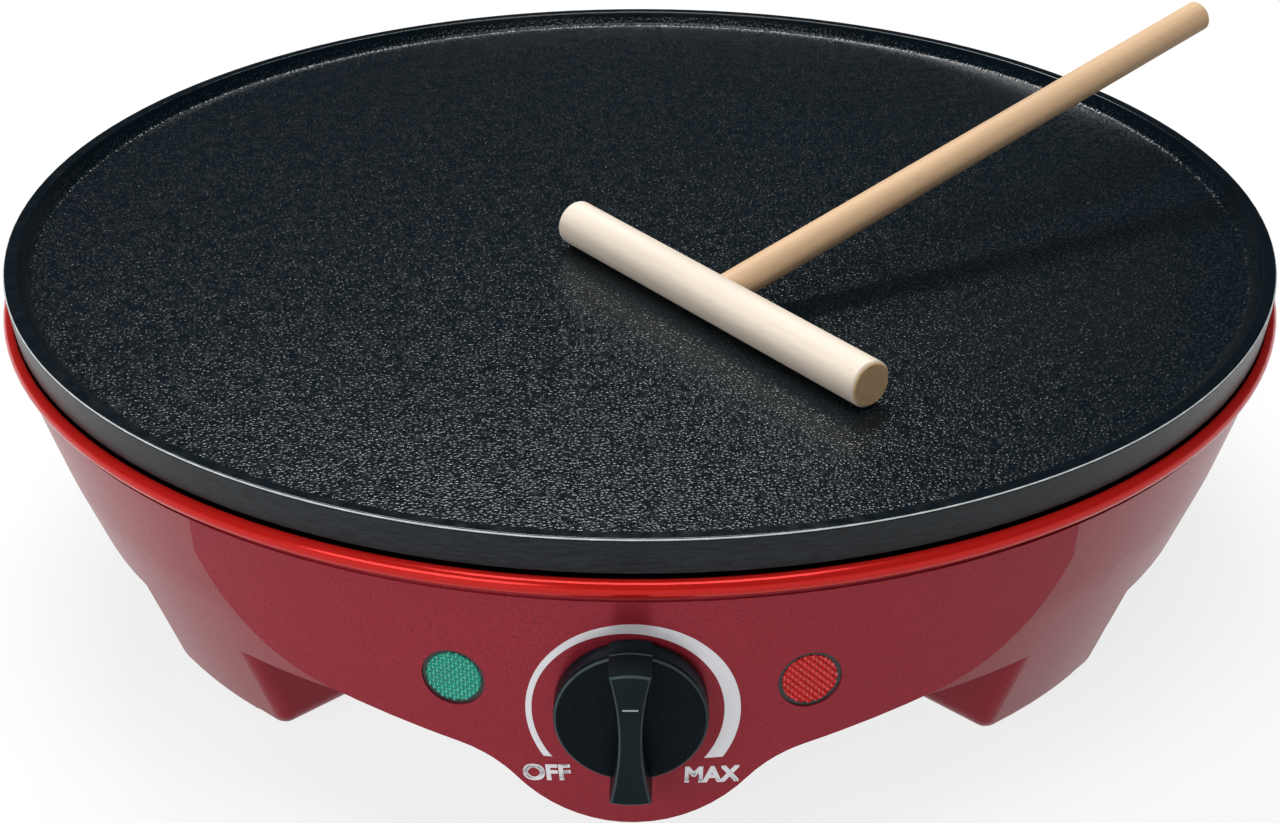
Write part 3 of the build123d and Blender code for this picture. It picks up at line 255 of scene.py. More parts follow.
class Finish(NodeSheet):
    """A material under construction, with its shader, on the object's own coordinates."""

    def __init__(self, name):
        self.material = bpy.data.materials.new(name)
        super().__init__(self.material)
        self.follow("Object")
        output = self.add("ShaderNodeOutputMaterial")
        self.shader = self.add("ShaderNodeBsdfPrincipled")
        self.link(self.shader.outputs["BSDF"], output.inputs["Surface"])

    def set(self, **values):
        """Set the shader's own sockets, with spaces written as underscores."""
        for key, value in values.items():
            self.shader.inputs[key.replace("_", " ")].default_value = value

    def noise(self, scale, detail=3.0, place=None):
        """Cloudy noise with a number of features per metre."""
        node = self.add("ShaderNodeTexNoise")
        node.inputs["Scale"].default_value = scale
        node.inputs["Detail"].default_value = detail
        self.link(place or self.place, node.inputs["Vector"])
        return node.outputs["Fac"]

    def cells(self, scale, place=None):
        """Distance to the nearest of many scattered points."""
        node = self.add("ShaderNodeTexVoronoi")
        node.inputs["Scale"].default_value = scale
        self.link(place or self.place, node.inputs["Vector"])
        return node.outputs["Distance"]

    def turned(self, rotation=(0, 0, 0), location=(0, 0, 0), scale=(1, 1, 1), place=None):
        """Object coordinates moved, turned or stretched."""
        node = self.add("ShaderNodeMapping")
        node.inputs["Location"].default_value = location
        node.inputs["Rotation"].default_value = rotation
        node.inputs["Scale"].default_value = scale
        self.link(place or self.place, node.inputs["Vector"])
        return node.outputs["Vector"]

    def axis_distance(self):
        """Distance from the object's upright axis."""
        flat = self.turned(scale=(1, 1, 0))
        node = self.add("ShaderNodeVectorMath", operation="LENGTH")
        self.link(flat, node.inputs[0])
        return node.outputs["Value"]

    def blend(self, share, first, second):
        """Colour between two others, which are colours or sockets."""
        node = self.add("ShaderNodeMix", data_type="RGBA")
        self.link(share, node.inputs["Factor"])
        for socket, value in (("A", first), ("B", second)):
            target = [s for s in node.inputs if s.name == socket and s.type == "RGBA"][0]
            if isinstance(value, tuple):
                target.default_value = (*value, 1.0)
            else:
                self.link(value, target)
        return [s for s in node.outputs if s.type == "RGBA"][0]

    def colour(self, socket):
        """Use a colour socket as the base colour."""
        self.link(socket, self.shader.inputs["Base Color"])

    def rough(self, socket):
        """Use a value socket as the roughness."""
        self.link(socket, self.shader.inputs["Roughness"])

    def relief(self, height, depth, strength):
        """Raise or sink the surface by a height socket, depth in metres."""
        node = self.add("ShaderNodeBump")
        node.inputs["Distance"].default_value = depth
        if isinstance(strength, float):
            node.inputs["Strength"].default_value = strength
        else:
            self.link(strength, node.inputs["Strength"])
        self.link(height, node.inputs["Height"])
        self.link(node.outputs["Normal"], self.shader.inputs["Normal"])


def darker(colour, share):
    """The same colour with less light in it, or more where the share is over 1."""
    return tuple(channel * share for channel in colour)


def plain_finish(
    name, colour, roughness, metallic=0.0, grain=2500.0, depth=0.02, drift=0.12, **more
):
    """Even finish with a slight drift of colour and gloss and a fine grain, depth in mm."""
    finish = Finish(name)
    finish.set(Metallic=metallic, **more)
    clouds = finish.noise(60.0)
    tint = finish.blend(clouds, darker(colour, 1.0 - drift), darker(colour, 1.0 + drift))
    finish.colour(tint)
    finish.rough(finish.drift(clouds, max(roughness - 0.05, 0.02), roughness + 0.05))
    finish.relief(finish.noise(grain, 2.0), depth * MM, 0.35)
    return finish.material


def brushed_finish(name, colour, roughness, stretch, grain=900.0):
    """Metal with fine lines along the stretched direction."""
    finish = Finish(name)
    finish.set(Metallic=1.0)
    lines = finish.noise(grain, 3.0, finish.turned(scale=stretch))
    finish.colour(finish.blend(lines, darker(colour, 0.8), darker(colour, 1.12)))
    finish.rough(finish.drift(lines, roughness - 0.06, roughness + 0.08))
    finish.relief(lines, 0.012 * MM, 0.4)
    return finish.material


# ---------------------------------------------------------------- settings
class CrepeBaseSettings(bpy.types.PropertyGroup):
    """Finish of the moulded base."""

    paint_colour: bpy.props.FloatVectorProperty(
        name="Paint colour",
        description="Colour of the lacquered base",
        default=(0.335, 0.027, 0.043),
        size=3,
        min=0.0,
        max=1.0,
        subtype="COLOR",
    )
    # painted highlight: the lip's brighter red is light painted on the rolled lip and over the
    # shade of the neck under it
    lip_highlight_colour: bpy.props.FloatVectorProperty(
        name="Lip colour",
        description="Colour of the rolled lip, where the lacquer lies thicker",
        default=(0.68, 0.018, 0.014),
        size=3,
        min=0.0,
        max=1.0,
        subtype="COLOR",
    )
    # painted shade: the dark colour inside the lip's highest line stands in for the shade under
    # the plate
    gap_shade_colour: bpy.props.FloatVectorProperty(
        name="Gap colour",
        description="Colour of the lip's inner edge, in the dark gap under the plate",
        default=(0.004, 0.002, 0.002),
        size=3,
        min=0.0,
        max=1.0,
        subtype="COLOR",
    )
    flake_size: bpy.props.FloatProperty(
        name="Flake size",
        description="Size of the flakes in the lacquer",
        default=0.45 * MM,
        unit="LENGTH",
        precision=5,
    )
    cover_colour: bpy.props.FloatVectorProperty(
        name="Cover colour",
        description="Colour of the bottom cover",
        default=(0.012, 0.012, 0.013),
        size=3,
        min=0.0,
        max=1.0,
        subtype="COLOR",
    )


class CrepeGriddleSettings(bpy.types.PropertyGroup):
    """Coating of the griddle plate."""

    coating_colour: bpy.props.FloatVectorProperty(
        name="Coating colour",
        description="Colour of the non-stick coating",
        default=(0.0015, 0.0052, 0.0082),
        size=3,
        min=0.0,
        max=1.0,
        subtype="COLOR",
    )
    # painted highlight: the paler tops stand in for the glints on the grains
    grain_top_sparkle_colour: bpy.props.FloatVectorProperty(
        name="Grain top colour",
        description="Colour of the grains' tops",
        default=(0.018, 0.025, 0.030),
        size=3,
        min=0.0,
        max=1.0,
        subtype="COLOR",
    )
    # painted highlight: the pale line on the rim's outer edge stands in for light on its rounding
    rim_highlight_colour: bpy.props.FloatVectorProperty(
        name="Edge colour",
        description="Colour of the rim's outer edge, where the coating is rubbed thin",
        default=(0.78, 0.83, 0.84),
        size=3,
        min=0.0,
        max=1.0,
        subtype="COLOR",
    )
    wall_dark: bpy.props.FloatVectorProperty(
        name="Wall colour, dark",
        description="Colour of the dark streaks round the plate's side wall",
        default=(0.001, 0.002, 0.005),
        size=3,
        min=0.0,
        max=1.0,
        subtype="COLOR",
    )
    wall_pale: bpy.props.FloatVectorProperty(
        name="Wall colour, pale",
        description="Colour of the pale streaks round the plate's side wall",
        default=(0.018, 0.027, 0.033),
        size=3,
        min=0.0,
        max=1.0,
        subtype="COLOR",
    )
    pebble_size: bpy.props.FloatProperty(
        name="Pebble size",
        description="Size of the grains of the cooking surface",
        default=0.85 * MM,
        unit="LENGTH",
        precision=5,
    )
    pebble_depth: bpy.props.FloatProperty(
        name="Pebble depth",
        description="Depth of the grains of the cooking surface",
        default=0.060 * MM,
        unit="LENGTH",
        precision=5,
    )
    smooth_from: bpy.props.FloatProperty(
        name="Smooth from",
        description="Radius outside which the cooking surface is smooth",
        default=151.4 * MM,
        unit="LENGTH",
        precision=5,
    )


class CrepeDialSettings(bpy.types.PropertyGroup):
    """Print round the dial and the knob's finish."""

    ring_outer: bpy.props.FloatProperty(
        name="Ring outer radius",
        description="Outer radius of the printed scale",
        default=22.05 * MM,
        unit="LENGTH",
        precision=5,
    )
    ring_inner: bpy.props.FloatProperty(
        name="Ring inner radius",
        description="Inner radius of the printed scale",
        default=19.75 * MM,
        unit="LENGTH",
        precision=5,
    )
    ring_foot: bpy.props.FloatProperty(
        name="Ring foot height",
        description="Height at which the scale's two ends are cut level",
        default=29.7 * MM,
        unit="LENGTH",
        precision=5,
    )
    letter_height: bpy.props.FloatProperty(
        name="Letter height",
        description="Height of the capitals",
        default=4.2 * MM,
        unit="LENGTH",
        precision=5,
    )
    print_colour: bpy.props.FloatVectorProperty(
        name="Print colour",
        description="Colour of the printed scale and words",
        default=(0.92, 0.91, 0.95),
        size=3,
        min=0.0,
        max=1.0,
        subtype="COLOR",
    )
    knob_colour: bpy.props.FloatVectorProperty(
        name="Knob colour",
        description="Colour of the moulded knob",
        default=(0.001, 0.0050, 0.0085),
        size=3,
        min=0.0,
        max=1.0,
        subtype="COLOR",
    )
    # painted highlight: the pale lines on the knob's edges stand in for light on them
    knob_edge_highlight_colour: bpy.props.FloatVectorProperty(
        name="Rubbed colour",
        description="Colour of the knob's edges, rubbed lighter by use",
        default=(0.075, 0.100, 0.108),
        size=3,
        min=0.0,
        max=1.0,
        subtype="COLOR",
    )
    # painted reflection: the grip's paler front stands in for the light it reflects; the knob's
    # specks share this colour
    grip_sheen_and_speck_colour: bpy.props.FloatVectorProperty(
        name="Grip colour",
        description="Colour of the grip's front, rubbed lighter by use",
        default=(0.010, 0.020, 0.024),
        size=3,
        min=0.0,
        max=1.0,
        subtype="COLOR",
    )


class CrepeLampSettings(bpy.types.PropertyGroup):
    """Pilot lamps."""

    lens_diameter: bpy.props.FloatProperty(
        name="Lens diameter",
        description="Diameter of each lens",
        default=11.7 * MM,
        unit="LENGTH",
        precision=5,
    )
    lattice_pitch: bpy.props.FloatProperty(
        name="Lattice pitch",
        description="Distance between the points of the lenses' lattice",
        default=1.2 * MM,
        unit="LENGTH",
        precision=5,
    )
    green: bpy.props.FloatVectorProperty(
        name="Green lens",
        description="Colour of the left lens",
        default=(0.001, 0.46, 0.31),
        size=3,
        min=0.0,
        max=1.0,
        subtype="COLOR",
    )
    red: bpy.props.FloatVectorProperty(
        name="Red lens",
        description="Colour of the right lens",
        default=(0.80, 0.016, 0.016),
        size=3,
        min=0.0,
        max=1.0,
        subtype="COLOR",
    )


class CrepeSpreaderSettings(bpy.types.PropertyGroup):
    """Wood of the spreader."""

    bar_colour: bpy.props.FloatVectorProperty(
        name="Bar colour",
        description="Colour of the crossbar's wood",
        default=(0.84, 0.735, 0.615),
        size=3,
        min=0.0,
        max=1.0,
        subtype="COLOR",
    )
    handle_colour: bpy.props.FloatVectorProperty(
        name="Handle colour",
        description="Colour of the handle's wood",
        default=(0.66, 0.44, 0.26),
        size=3,
        min=0.0,
        max=1.0,
        subtype="COLOR",
    )
    end_grain_colour: bpy.props.FloatVectorProperty(
        name="End grain colour",
        description="Colour of the sawn ends",
        default=(0.58, 0.39, 0.21),
        size=3,
        min=0.0,
        max=1.0,
        subtype="COLOR",
    )


class CrepeStageSettings(bpy.types.PropertyGroup):
    """Floor, lights and camera."""

    floor_width: bpy.props.FloatProperty(
        name="Floor width",
        description="Width of the square floor",
        default=12.0,
        unit="LENGTH",
    )
    camera_place: bpy.props.FloatVectorProperty(
        name="Camera place",
        description="Where the camera stands",
        default=(0.0065, -0.5705, 0.3369),
        size=3,
        subtype="TRANSLATION",
    )
    camera_pitch: bpy.props.FloatProperty(
        name="Camera pitch",
        description="Angle of the camera from straight down",
        default=radians(61.58),
        subtype="ANGLE",
    )
    camera_turn: bpy.props.FloatProperty(
        name="Camera turn",
        description="Heading of the camera",
        default=radians(0.65),
        subtype="ANGLE",
    )
    camera_lens: bpy.props.FloatProperty(
        name="Lens",
        description="Focal length in millimetres on a 36 mm wide sensor",
        default=69.80,
        min=1.0,
    )
    key_power: bpy.props.FloatProperty(
        name="Key light",
        description="Power of the soft light overhead",
        default=22.0,
        unit="POWER",
    )
    rear_power: bpy.props.FloatProperty(
        name="Rear light",
        description="Power of the soft light behind",
        default=26.0,
        unit="POWER",
    )
    front_power: bpy.props.FloatProperty(
        name="Front light",
        description="Power of the soft light before the object",
        default=18.0,
        unit="POWER",
    )


# ---------------------------------------------------------------- base
class CREPE_OT_dress_base(bpy.types.Operator):
    """Lacquer the moulded base"""

    bl_idname = "crepe.dress_base"
    bl_label = "Dress Base"

    def execute(self, context):
        settings = context.scene.crepe_base
        colour = tuple(settings.paint_colour)
        finish = Finish("red_lacquer")
        height = finish.part_of("Z")
        flakes = finish.cells(1.0 / settings.flake_size)
        clouds = finish.spread(finish.noise(35.0), 0.35, 0.65, 0.0, 0.25)
        tint = finish.blend(flakes, darker(colour, 1.30), darker(colour, 0.76))
        tint = finish.blend(clouds, tint, darker(colour, 0.9))
        # painted highlight: the lip is painted a brighter red where light falls on the roll,
        # starting in the neck just over the crease, where it also paints over the neck's shade
        lip = finish.spread(height, crease_height + 0.5 * MM, crease_height + 1.1 * MM)
        tint = finish.blend(lip, tint, tuple(settings.lip_highlight_colour))
        # painted shade: inside its highest line the lip is painted dark, for the shade of the
        # plate that stands over it
        above = finish.spread(height, lip_top - 0.3 * MM, lip_top - 0.2 * MM)
        inner = finish.spread(finish.axis_distance(), lip_seat - 0.25 * MM, lip_seat, 1.0, 0.0)
        gap = finish.calc("MULTIPLY", above, inner)
        finish.colour(finish.blend(gap, tint, tuple(settings.gap_shade_colour)))
        gloss = finish.spread(flakes, 0.0, 1.0, 0.26, 0.36)
        polish = finish.calc("MULTIPLY", lip, 0.14)
        finish.rough(finish.calc("SUBTRACT", gloss, polish))
        finish.set(Metallic=0.28, Specular_IOR_Level=0.16, Coat_Weight=0.06, Coat_Roughness=0.06)
        finish.relief(finish.noise(450.0, 1.0), 0.02 * MM, 0.12)
        dress(finish.material, "housing")
        return {"FINISHED"}


class CREPE_OT_dress_underside(bpy.types.Operator):
    """Finish the bottom cover, the feet and the screws seen from below"""

    bl_idname = "crepe.dress_underside"
    bl_label = "Dress Underside"

    def execute(self, context):
        colour = tuple(context.scene.crepe_base.cover_colour)
        cover = plain_finish("cover_plastic", colour, 0.5, depth=0.05, grain=1400.0)
        dress(cover, "bottom_cover")
        rubber = plain_finish(
            "foot_rubber", (0.018, 0.018, 0.018), 0.8, depth=0.03, grain=3000.0
        )
        dress(rubber, "rubber_feet")
        zinc = brushed_finish("zinc_screws", (0.62, 0.62, 0.60), 0.32, (1, 1, 0.2), 2500.0)
        dress(zinc, "plate_screws")
        dress(plain_finish("black_screws", (0.02, 0.02, 0.022), 0.35, 0.6), "cover_screws")
        return {"FINISHED"}


# ---------------------------------------------------------------- griddle
class CREPE_OT_dress_griddle(bpy.types.Operator):
    """Coat the griddle plate: pebbled where it cooks, smooth at the rim, streaked on its side"""

    bl_idname = "crepe.dress_griddle"
    bl_label = "Dress Griddle"

    def execute(self, context):
        settings = context.scene.crepe_griddle
        colour = tuple(settings.coating_colour)
        finish = Finish("griddle_coating")
        away = finish.axis_distance()
        height = finish.part_of("Z")
        # where the plate cooks, and where its side wall is
        shore = settings.smooth_from
        inside = finish.spread(away, shore, shore + 0.8 * MM, 1.0, 0.0, soft=True)
        below = finish.spread(height, rim_height - 0.9 * MM, rim_height - 0.6 * MM, 1.0, 0.0)
        outside = finish.spread(away, rim_radius - 1.9 * MM, rim_radius - 1.6 * MM)
        side = finish.calc("MULTIPLY", outside, below)
        # round pebbles with finer grit between them
        pebbles = finish.cells(1.0 / settings.pebble_size)
        pebbles = finish.spread(pebbles, 0.05, 0.75, 1.0, 0.0, soft=True)
        grit = finish.calc("MULTIPLY", finish.noise(1.6 / settings.pebble_size, 1.0), 1.1)
        lumps = finish.calc("ADD", pebbles, grit)
        # painted highlight: the grains' tops are painted paler than the coating, as glints on
        # them
        tops = finish.spread(lumps, 1.10, 1.50, soft=True)
        pan = finish.blend(finish.noise(18.0), darker(colour, 0.85), darker(colour, 1.2))
        tops = finish.calc("MULTIPLY", tops, inside)
        pan = finish.blend(tops, pan, tuple(settings.grain_top_sparkle_colour))
        # streaks that run round the side wall
        streaks = finish.noise(1800.0, 2.0, finish.turned(scale=(0.16, 0.16, 1)))
        pale = finish.drift(streaks)
        wall = finish.blend(pale, tuple(settings.wall_dark), tuple(settings.wall_pale))
        # painted highlight: a thin pale line along the rim's outer edge, where light catches its
        # rounding
        edge = finish.spread(away, rim_radius - 0.46 * MM, rim_radius - 0.28 * MM)
        top = finish.spread(height, rim_height - 0.38 * MM, rim_height - 0.22 * MM)
        painted_rim_highlight = finish.calc("MULTIPLY", edge, top)
        coat = finish.blend(side, pan, wall)
        finish.colour(finish.blend(painted_rim_highlight, coat, tuple(settings.rim_highlight_colour)))
        smooth = finish.drift(streaks, 0.28, 0.38)
        polish = finish.spread(side, 0.0, 1.0, 0.15, 0.0)
        finish.rough(finish.calc("SUBTRACT", smooth, polish))
        finish.set(IOR=1.3)
        finish.relief(lumps, settings.pebble_depth, finish.spread(inside, 0.0, 1.0, 0.06, 1.0))
        dress(finish.material, "cooking_plate")
        return {"FINISHED"}


# ---------------------------------------------------------------- dial print
def lay_on_panel(piece, material):
    """Press a flat piece that stands before the panel onto it, as a thin layer of print."""
    apply_modifier(
        piece,
        "SHRINKWRAP",
        target=frame["nodes"]["housing"],
        wrap_method="PROJECT",
        use_project_y=True,
        use_negative_direction=True,
        use_positive_direction=True,
        offset=print_lift,
    )
    apply_modifier(piece, "SOLIDIFY", thickness=print_thickness, offset=1.0)
    paint(piece, material)
    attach(piece, "base")


def printed_word(text, left, right, foot, slope, height):
    """A word of flat capitals that stands before the panel, between two places across."""
    clear_selection()
    bpy.ops.object.text_add()
    word = bpy.context.object
    word.data.body = text
    word.data.size = height * 1.4      # capitals are about 0.7 of a font's size
    word.data.resolution_u = 6
    bpy.ops.object.convert(target="MESH")
    word = name_new("word_" + text.lower())
    edit_all()
    # three copies, each set a little aside from the last, make the strokes bolder
    aside = 0.1 * height
    for step in ((aside, 0, 0), (0, aside, 0), (-aside, 0, 0)):
        bpy.ops.mesh.duplicate()
        bpy.ops.transform.translate(value=step)
    bpy.ops.object.mode_set(mode="OBJECT")
    shift = Matrix.Translation(-Vector(word.bound_box[0]))
    wide, tall = word.dimensions.xy
    stretch = Matrix.Diagonal(((right - left) / wide, height / tall, 1.0, 1.0))
    lean = Matrix.Rotation(slope, 4, "Z")
    stand = Matrix.Translation((left, print_start, foot)) @ Matrix.Rotation(pi / 2, 4, "X")
    return settle(word, stand @ lean @ stretch @ shift)


class CREPE_OT_print_dial(bpy.types.Operator):
    """Print the scale and its two words round the dial"""

    bl_idname = "crepe.print_dial"
    bl_label = "Print Dial"

    def execute(self, context):
        settings = context.scene.crepe_dial
        colour = tuple(settings.print_colour)
        ink = plain_finish("dial_print", colour, 0.35, 0.35, depth=0.01, drift=0.04)
        clear_selection()
        bpy.ops.mesh.primitive_circle_add(
            vertices=160,
            radius=settings.ring_inner,
            location=scale_place,
            rotation=(pi / 2, 0, 0),
            scale=(1.0, scale_stretch, 1.0),
        )
        ring = name_new("dial_scale")
        settle(ring)
        edit_all()
        # the outer edge is larger and set aside, so the scale widens from OFF to MAX
        bpy.ops.mesh.extrude_edges_move()
        growth = settings.ring_outer / settings.ring_inner
        bpy.ops.transform.resize(value=(growth, 1, growth))
        bpy.ops.transform.translate(value=scale_shift)
        bpy.ops.mesh.select_all(action="SELECT")
        foot = (0, 0, settings.ring_foot)
        bpy.ops.mesh.bisect(plane_co=foot, plane_no=(0, 0, 1), clear_inner=True)
        bpy.ops.mesh.select_all(action="SELECT")
        bpy.ops.mesh.normals_make_consistent(inside=False)
        bpy.ops.object.mode_set(mode="OBJECT")
        if ring.data.polygons[0].normal.y > 0:
            ring.data.flip_normals()
        lay_on_panel(ring, ink)
        height = settings.letter_height
        for text, left, right, foot, slope in word_spots:
            lay_on_panel(printed_word(text, left, right, foot, slope, height), ink)
        return {"FINISHED"}


# ---------------------------------------------------------------- knob
class CREPE_OT_dress_knob(bpy.types.Operator):
    """Finish the knob and its shaft and add the pointer's mark"""

    bl_idname = "crepe.dress_knob"
    bl_label = "Dress Knob"

    def execute(self, context):
        settings = context.scene.crepe_dial
        colour = tuple(settings.knob_colour)
        grip_sheen_and_speck_colour = tuple(settings.grip_sheen_and_speck_colour)
        finish = Finish("knob_plastic")
        finish.set(Specular_IOR_Level=0.07)
        # how far out a point lies along the knob's axis, and how far out the panel's face lies
        forward = finish.calc("MULTIPLY", finish.part_of("Y"), -cos(panel_lean))
        upward = finish.calc("MULTIPLY", finish.part_of("Z"), sin(panel_lean))
        proud = finish.calc("SUBTRACT", forward, upward)
        face = panel_radius(dial_height) * cos(panel_lean) - dial_height * sin(panel_lean)
        # painted reflection: the grip's front is painted paler, for the light that it reflects
        grip = finish.spread(proud, face + 6.6 * MM, face + 12.0 * MM)
        shade = finish.blend(grip, colour, grip_sheen_and_speck_colour)
        # painted highlight: a thin pale line just behind the front edge of the disc and of the
        # grip, where light catches them
        for level in (face + knob_disc, face + knob_grip):
            start = finish.spread(proud, level - 0.55 * MM, level - 0.3 * MM)
            end = finish.spread(proud, level - 0.14 * MM, level - 0.04 * MM, 1.0, 0.0)
            line = finish.calc("MULTIPLY", start, end)
            shade = finish.blend(line, shade, tuple(settings.knob_edge_highlight_colour))
        clouds = finish.noise(60.0)
        grain = finish.noise(1300.0, 2.0)
        shade = finish.blend(finish.drift(clouds, 0.0, 0.3), shade, colour)
        # the knob's specks, a grain, take the same pale colour
        specks = finish.spread(grain, 0.56, 0.74, 0.0, 0.55)
        finish.colour(finish.blend(specks, shade, grip_sheen_and_speck_colour))
        finish.rough(finish.drift(clouds, 0.28, 0.38))
        finish.relief(grain, 0.05 * MM, 0.5)
        dress(finish.material, "dial_knob")
        dress(brushed_finish("shaft_steel", (0.55, 0.55, 0.54), 0.3, (1, 0.1, 1)), "dial_shaft")
        clear_selection()
        bpy.ops.mesh.primitive_cube_add(size=1.0, scale=mark_size)
        mark = name_new("pointer_mark")
        settle(mark)
        apply_modifier(mark, "BEVEL", width=0.05 * MM, segments=2)
        settle(mark, panel_place(0.0, dial_height + mark_rise, knob_grip + mark_lift))
        paint(mark, plain_finish("pointer_paint", (0.50, 0.54, 0.54), 0.5, depth=0.01))
        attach(mark, "knob")
        return {"FINISHED"}


# ---------------------------------------------------------------- pilot lamps
def lens_finish(name, colour):
    """Clear tinted plastic over a lamp that is off."""
    finish = Finish(name)
    finish.set(Transmission_Weight=0.05, IOR=1.45, Coat_Weight=0.4, Coat_Roughness=0.03)
    clouds = finish.noise(400.0)
    finish.colour(finish.blend(clouds, darker(colour, 0.8), darker(colour, 1.15)))
    finish.rough(finish.drift(clouds, 0.10, 0.2))
    return finish.material


def beaded_lens(name, diameter, pitch):
    """A lens whose face is a lattice of small round beads."""
    front = 0.8 * MM
    back = -2.6 * MM
    thickness = 4.0 * MM
    bead_height = 0.5 * pitch
    rows = 2 * int(diameter / pitch / 2 + 1.5)      # even, and wider than the lens
    steps = 4 * rows
    clear_selection()
    bpy.ops.mesh.primitive_grid_add(
        x_subdivisions=steps, y_subdivisions=steps, size=rows * pitch
    )
    lens = name_new(name)
    form = bmesh.new()
    form.from_mesh(lens.data)
    for point in form.verts:
        bead = abs(sin(pi * point.co.x / pitch) * sin(pi * point.co.y / pitch))
        point.co.z = bead * bead_height
    form.to_mesh(lens.data)
    form.free()
    settle(lens, Matrix.Rotation(pi / 4, 4, "Z"))
    edit_all()
    bpy.ops.mesh.extrude_region_move(TRANSFORM_OT_translate={"value": (0, 0, -thickness)})
    bpy.ops.object.mode_set(mode="OBJECT")
    recalculate(lens)
    clear_selection()
    bpy.ops.mesh.primitive_cylinder_add(
        vertices=72,
        radius=diameter / 2,
        depth=front - back,
        location=(0, 0, (front + back) / 2),
    )
    plug = name_new(name + "_cutter")
    settle(plug)
    apply_modifier(lens, "BOOLEAN", operation="INTERSECT", object=plug, solver="EXACT")
    bpy.data.objects.remove(plug)
    recalculate(lens)
    pick(lens)
    bpy.ops.object.shade_smooth_by_angle(angle=radians(40))
    return lens


class CREPE_OT_fit_pilot_lamps(bpy.types.Operator):
    """Cut the latticed lenses and finish the lamp holders and the glow lamps"""

    bl_idname = "crepe.fit_pilot_lamps"
    bl_label = "Fit Pilot Lamps"

    def execute(self, context):
        settings = context.scene.crepe_lamps
        diameter = settings.lens_diameter
        for tone, side in (("green", -1), ("red", 1)):
            lens = beaded_lens(tone + "_lens_lattice", diameter, settings.lattice_pitch)
            settle(lens, panel_place(side * lamp_azimuth, lamp_height, -lens_sink))
            paint(lens, lens_finish(tone + "_lens_plastic", tuple(getattr(settings, tone))))
            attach(lens, "base")
            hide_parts(tone + "_lens")
        holder = plain_finish("holder_plastic", (0.02, 0.02, 0.02), 0.4)
        dress(holder, "green_lamp_holder", "red_lamp_holder")
        glass = plain_finish(
            "lamp_glass", (0.75, 0.72, 0.68), 0.08, Transmission_Weight=0.6, depth=0.005
        )
        dress(glass, "green_neon_lamp", "red_neon_lamp")
        return {"FINISHED"}


# ---------------------------------------------------------------- spreader
def wood_finish(name, colour, end_colour, turns, reach):
    """Turned beech with streaks and flecks along the piece, darker where it ends at a reach."""
    finish = Finish(name)
    finish.set(Specular_IOR_Level=0.35)
    along = finish.turned(location=-bar_centre)
    for turn in turns:
        along = finish.turned(rotation=turn, place=along)
    streaks = finish.noise(260.0, 4.0, finish.turned(scale=(0.05, 1, 1), place=along))
    flecks = finish.cells(900.0, finish.turned(scale=(0.16, 1, 1), place=along))
    grain = finish.drift(streaks)
    base = finish.blend(grain, darker(colour, 0.88), darker(colour, 1.08))
    speck = finish.spread(flecks, 0.08, 0.22, 0.35, 0.0, soft=True)
    base = finish.blend(speck, base, darker(colour, 0.72))
    away = finish.calc("ABSOLUTE", finish.part_of("X", along))
    ends = finish.spread(away, reach - 0.45 * MM, reach - 0.25 * MM)
    rings = finish.noise(700.0, 3.0)
    sawn = finish.blend(rings, darker(end_colour, 0.75), darker(end_colour, 1.25))
    finish.colour(finish.blend(ends, base, sawn))
    finish.rough(finish.drift(streaks, 0.50, 0.62))
    finish.relief(streaks, 0.05 * MM, 0.25)
    return finish.material


class CREPE_OT_dress_spreader(bpy.types.Operator):
    """Finish the spreader's crossbar and handle in wood"""

    bl_idname = "crepe.dress_spreader"
    bl_label = "Dress Spreader"

    def execute(self, context):
        settings = context.scene.crepe_spreader
        end = tuple(settings.end_grain_colour)
        turns = ((0, 0, -bar_heading),)
        bar = wood_finish("bar_beech", tuple(settings.bar_colour), end, turns, bar_half)
        dress(bar, "spreader_bar")
        turns = ((0, 0, -(bar_heading + pi / 2)), (0, handle_rise, 0))
        colour = tuple(settings.handle_colour)
        handle = wood_finish("handle_beech", colour, end, turns, handle_length)
        dress(handle, "spreader_handle")
        return {"FINISHED"}


# ---------------------------------------------------------------- inner pieces
def woven_sleeve(name, colour):
    """Braided sleeving over a lead that runs near the heat."""
    finish = Finish(name)
    finish.set(Specular_IOR_Level=0.3)
    threads = finish.cells(2600.0)
    weave = finish.spread(threads, 0.0, 0.9)
    clouds = finish.drift(finish.noise(180.0), 0.0, 0.4)
    tint = finish.blend(weave, darker(colour, 1.25), darker(colour, 0.6))
    finish.colour(finish.blend(clouds, tint, darker(colour, 0.8)))
    finish.rough(finish.spread(threads, 0.0, 0.9, 0.55, 0.75))
    finish.relief(threads, 0.08 * MM, 0.6)
    return finish.material


def striped_sleeve(name, first, second):
    """Smooth sleeving in two colours, in long stripes."""
    finish = Finish(name)
    finish.set(Specular_IOR_Level=0.4)
    bands = finish.add("ShaderNodeTexWave", wave_type="BANDS", bands_direction="DIAGONAL")
    bands.inputs["Scale"].default_value = 130.0
    finish.link(finish.place, bands.inputs["Vector"])
    stripe = finish.spread(bands.outputs["Fac"], 0.62, 0.68)
    clouds = finish.noise(200.0)
    finish.colour(finish.blend(stripe, first, second))
    finish.rough(finish.drift(clouds, 0.35, 0.5))
    finish.relief(clouds, 0.02 * MM, 0.3)
    return finish.material


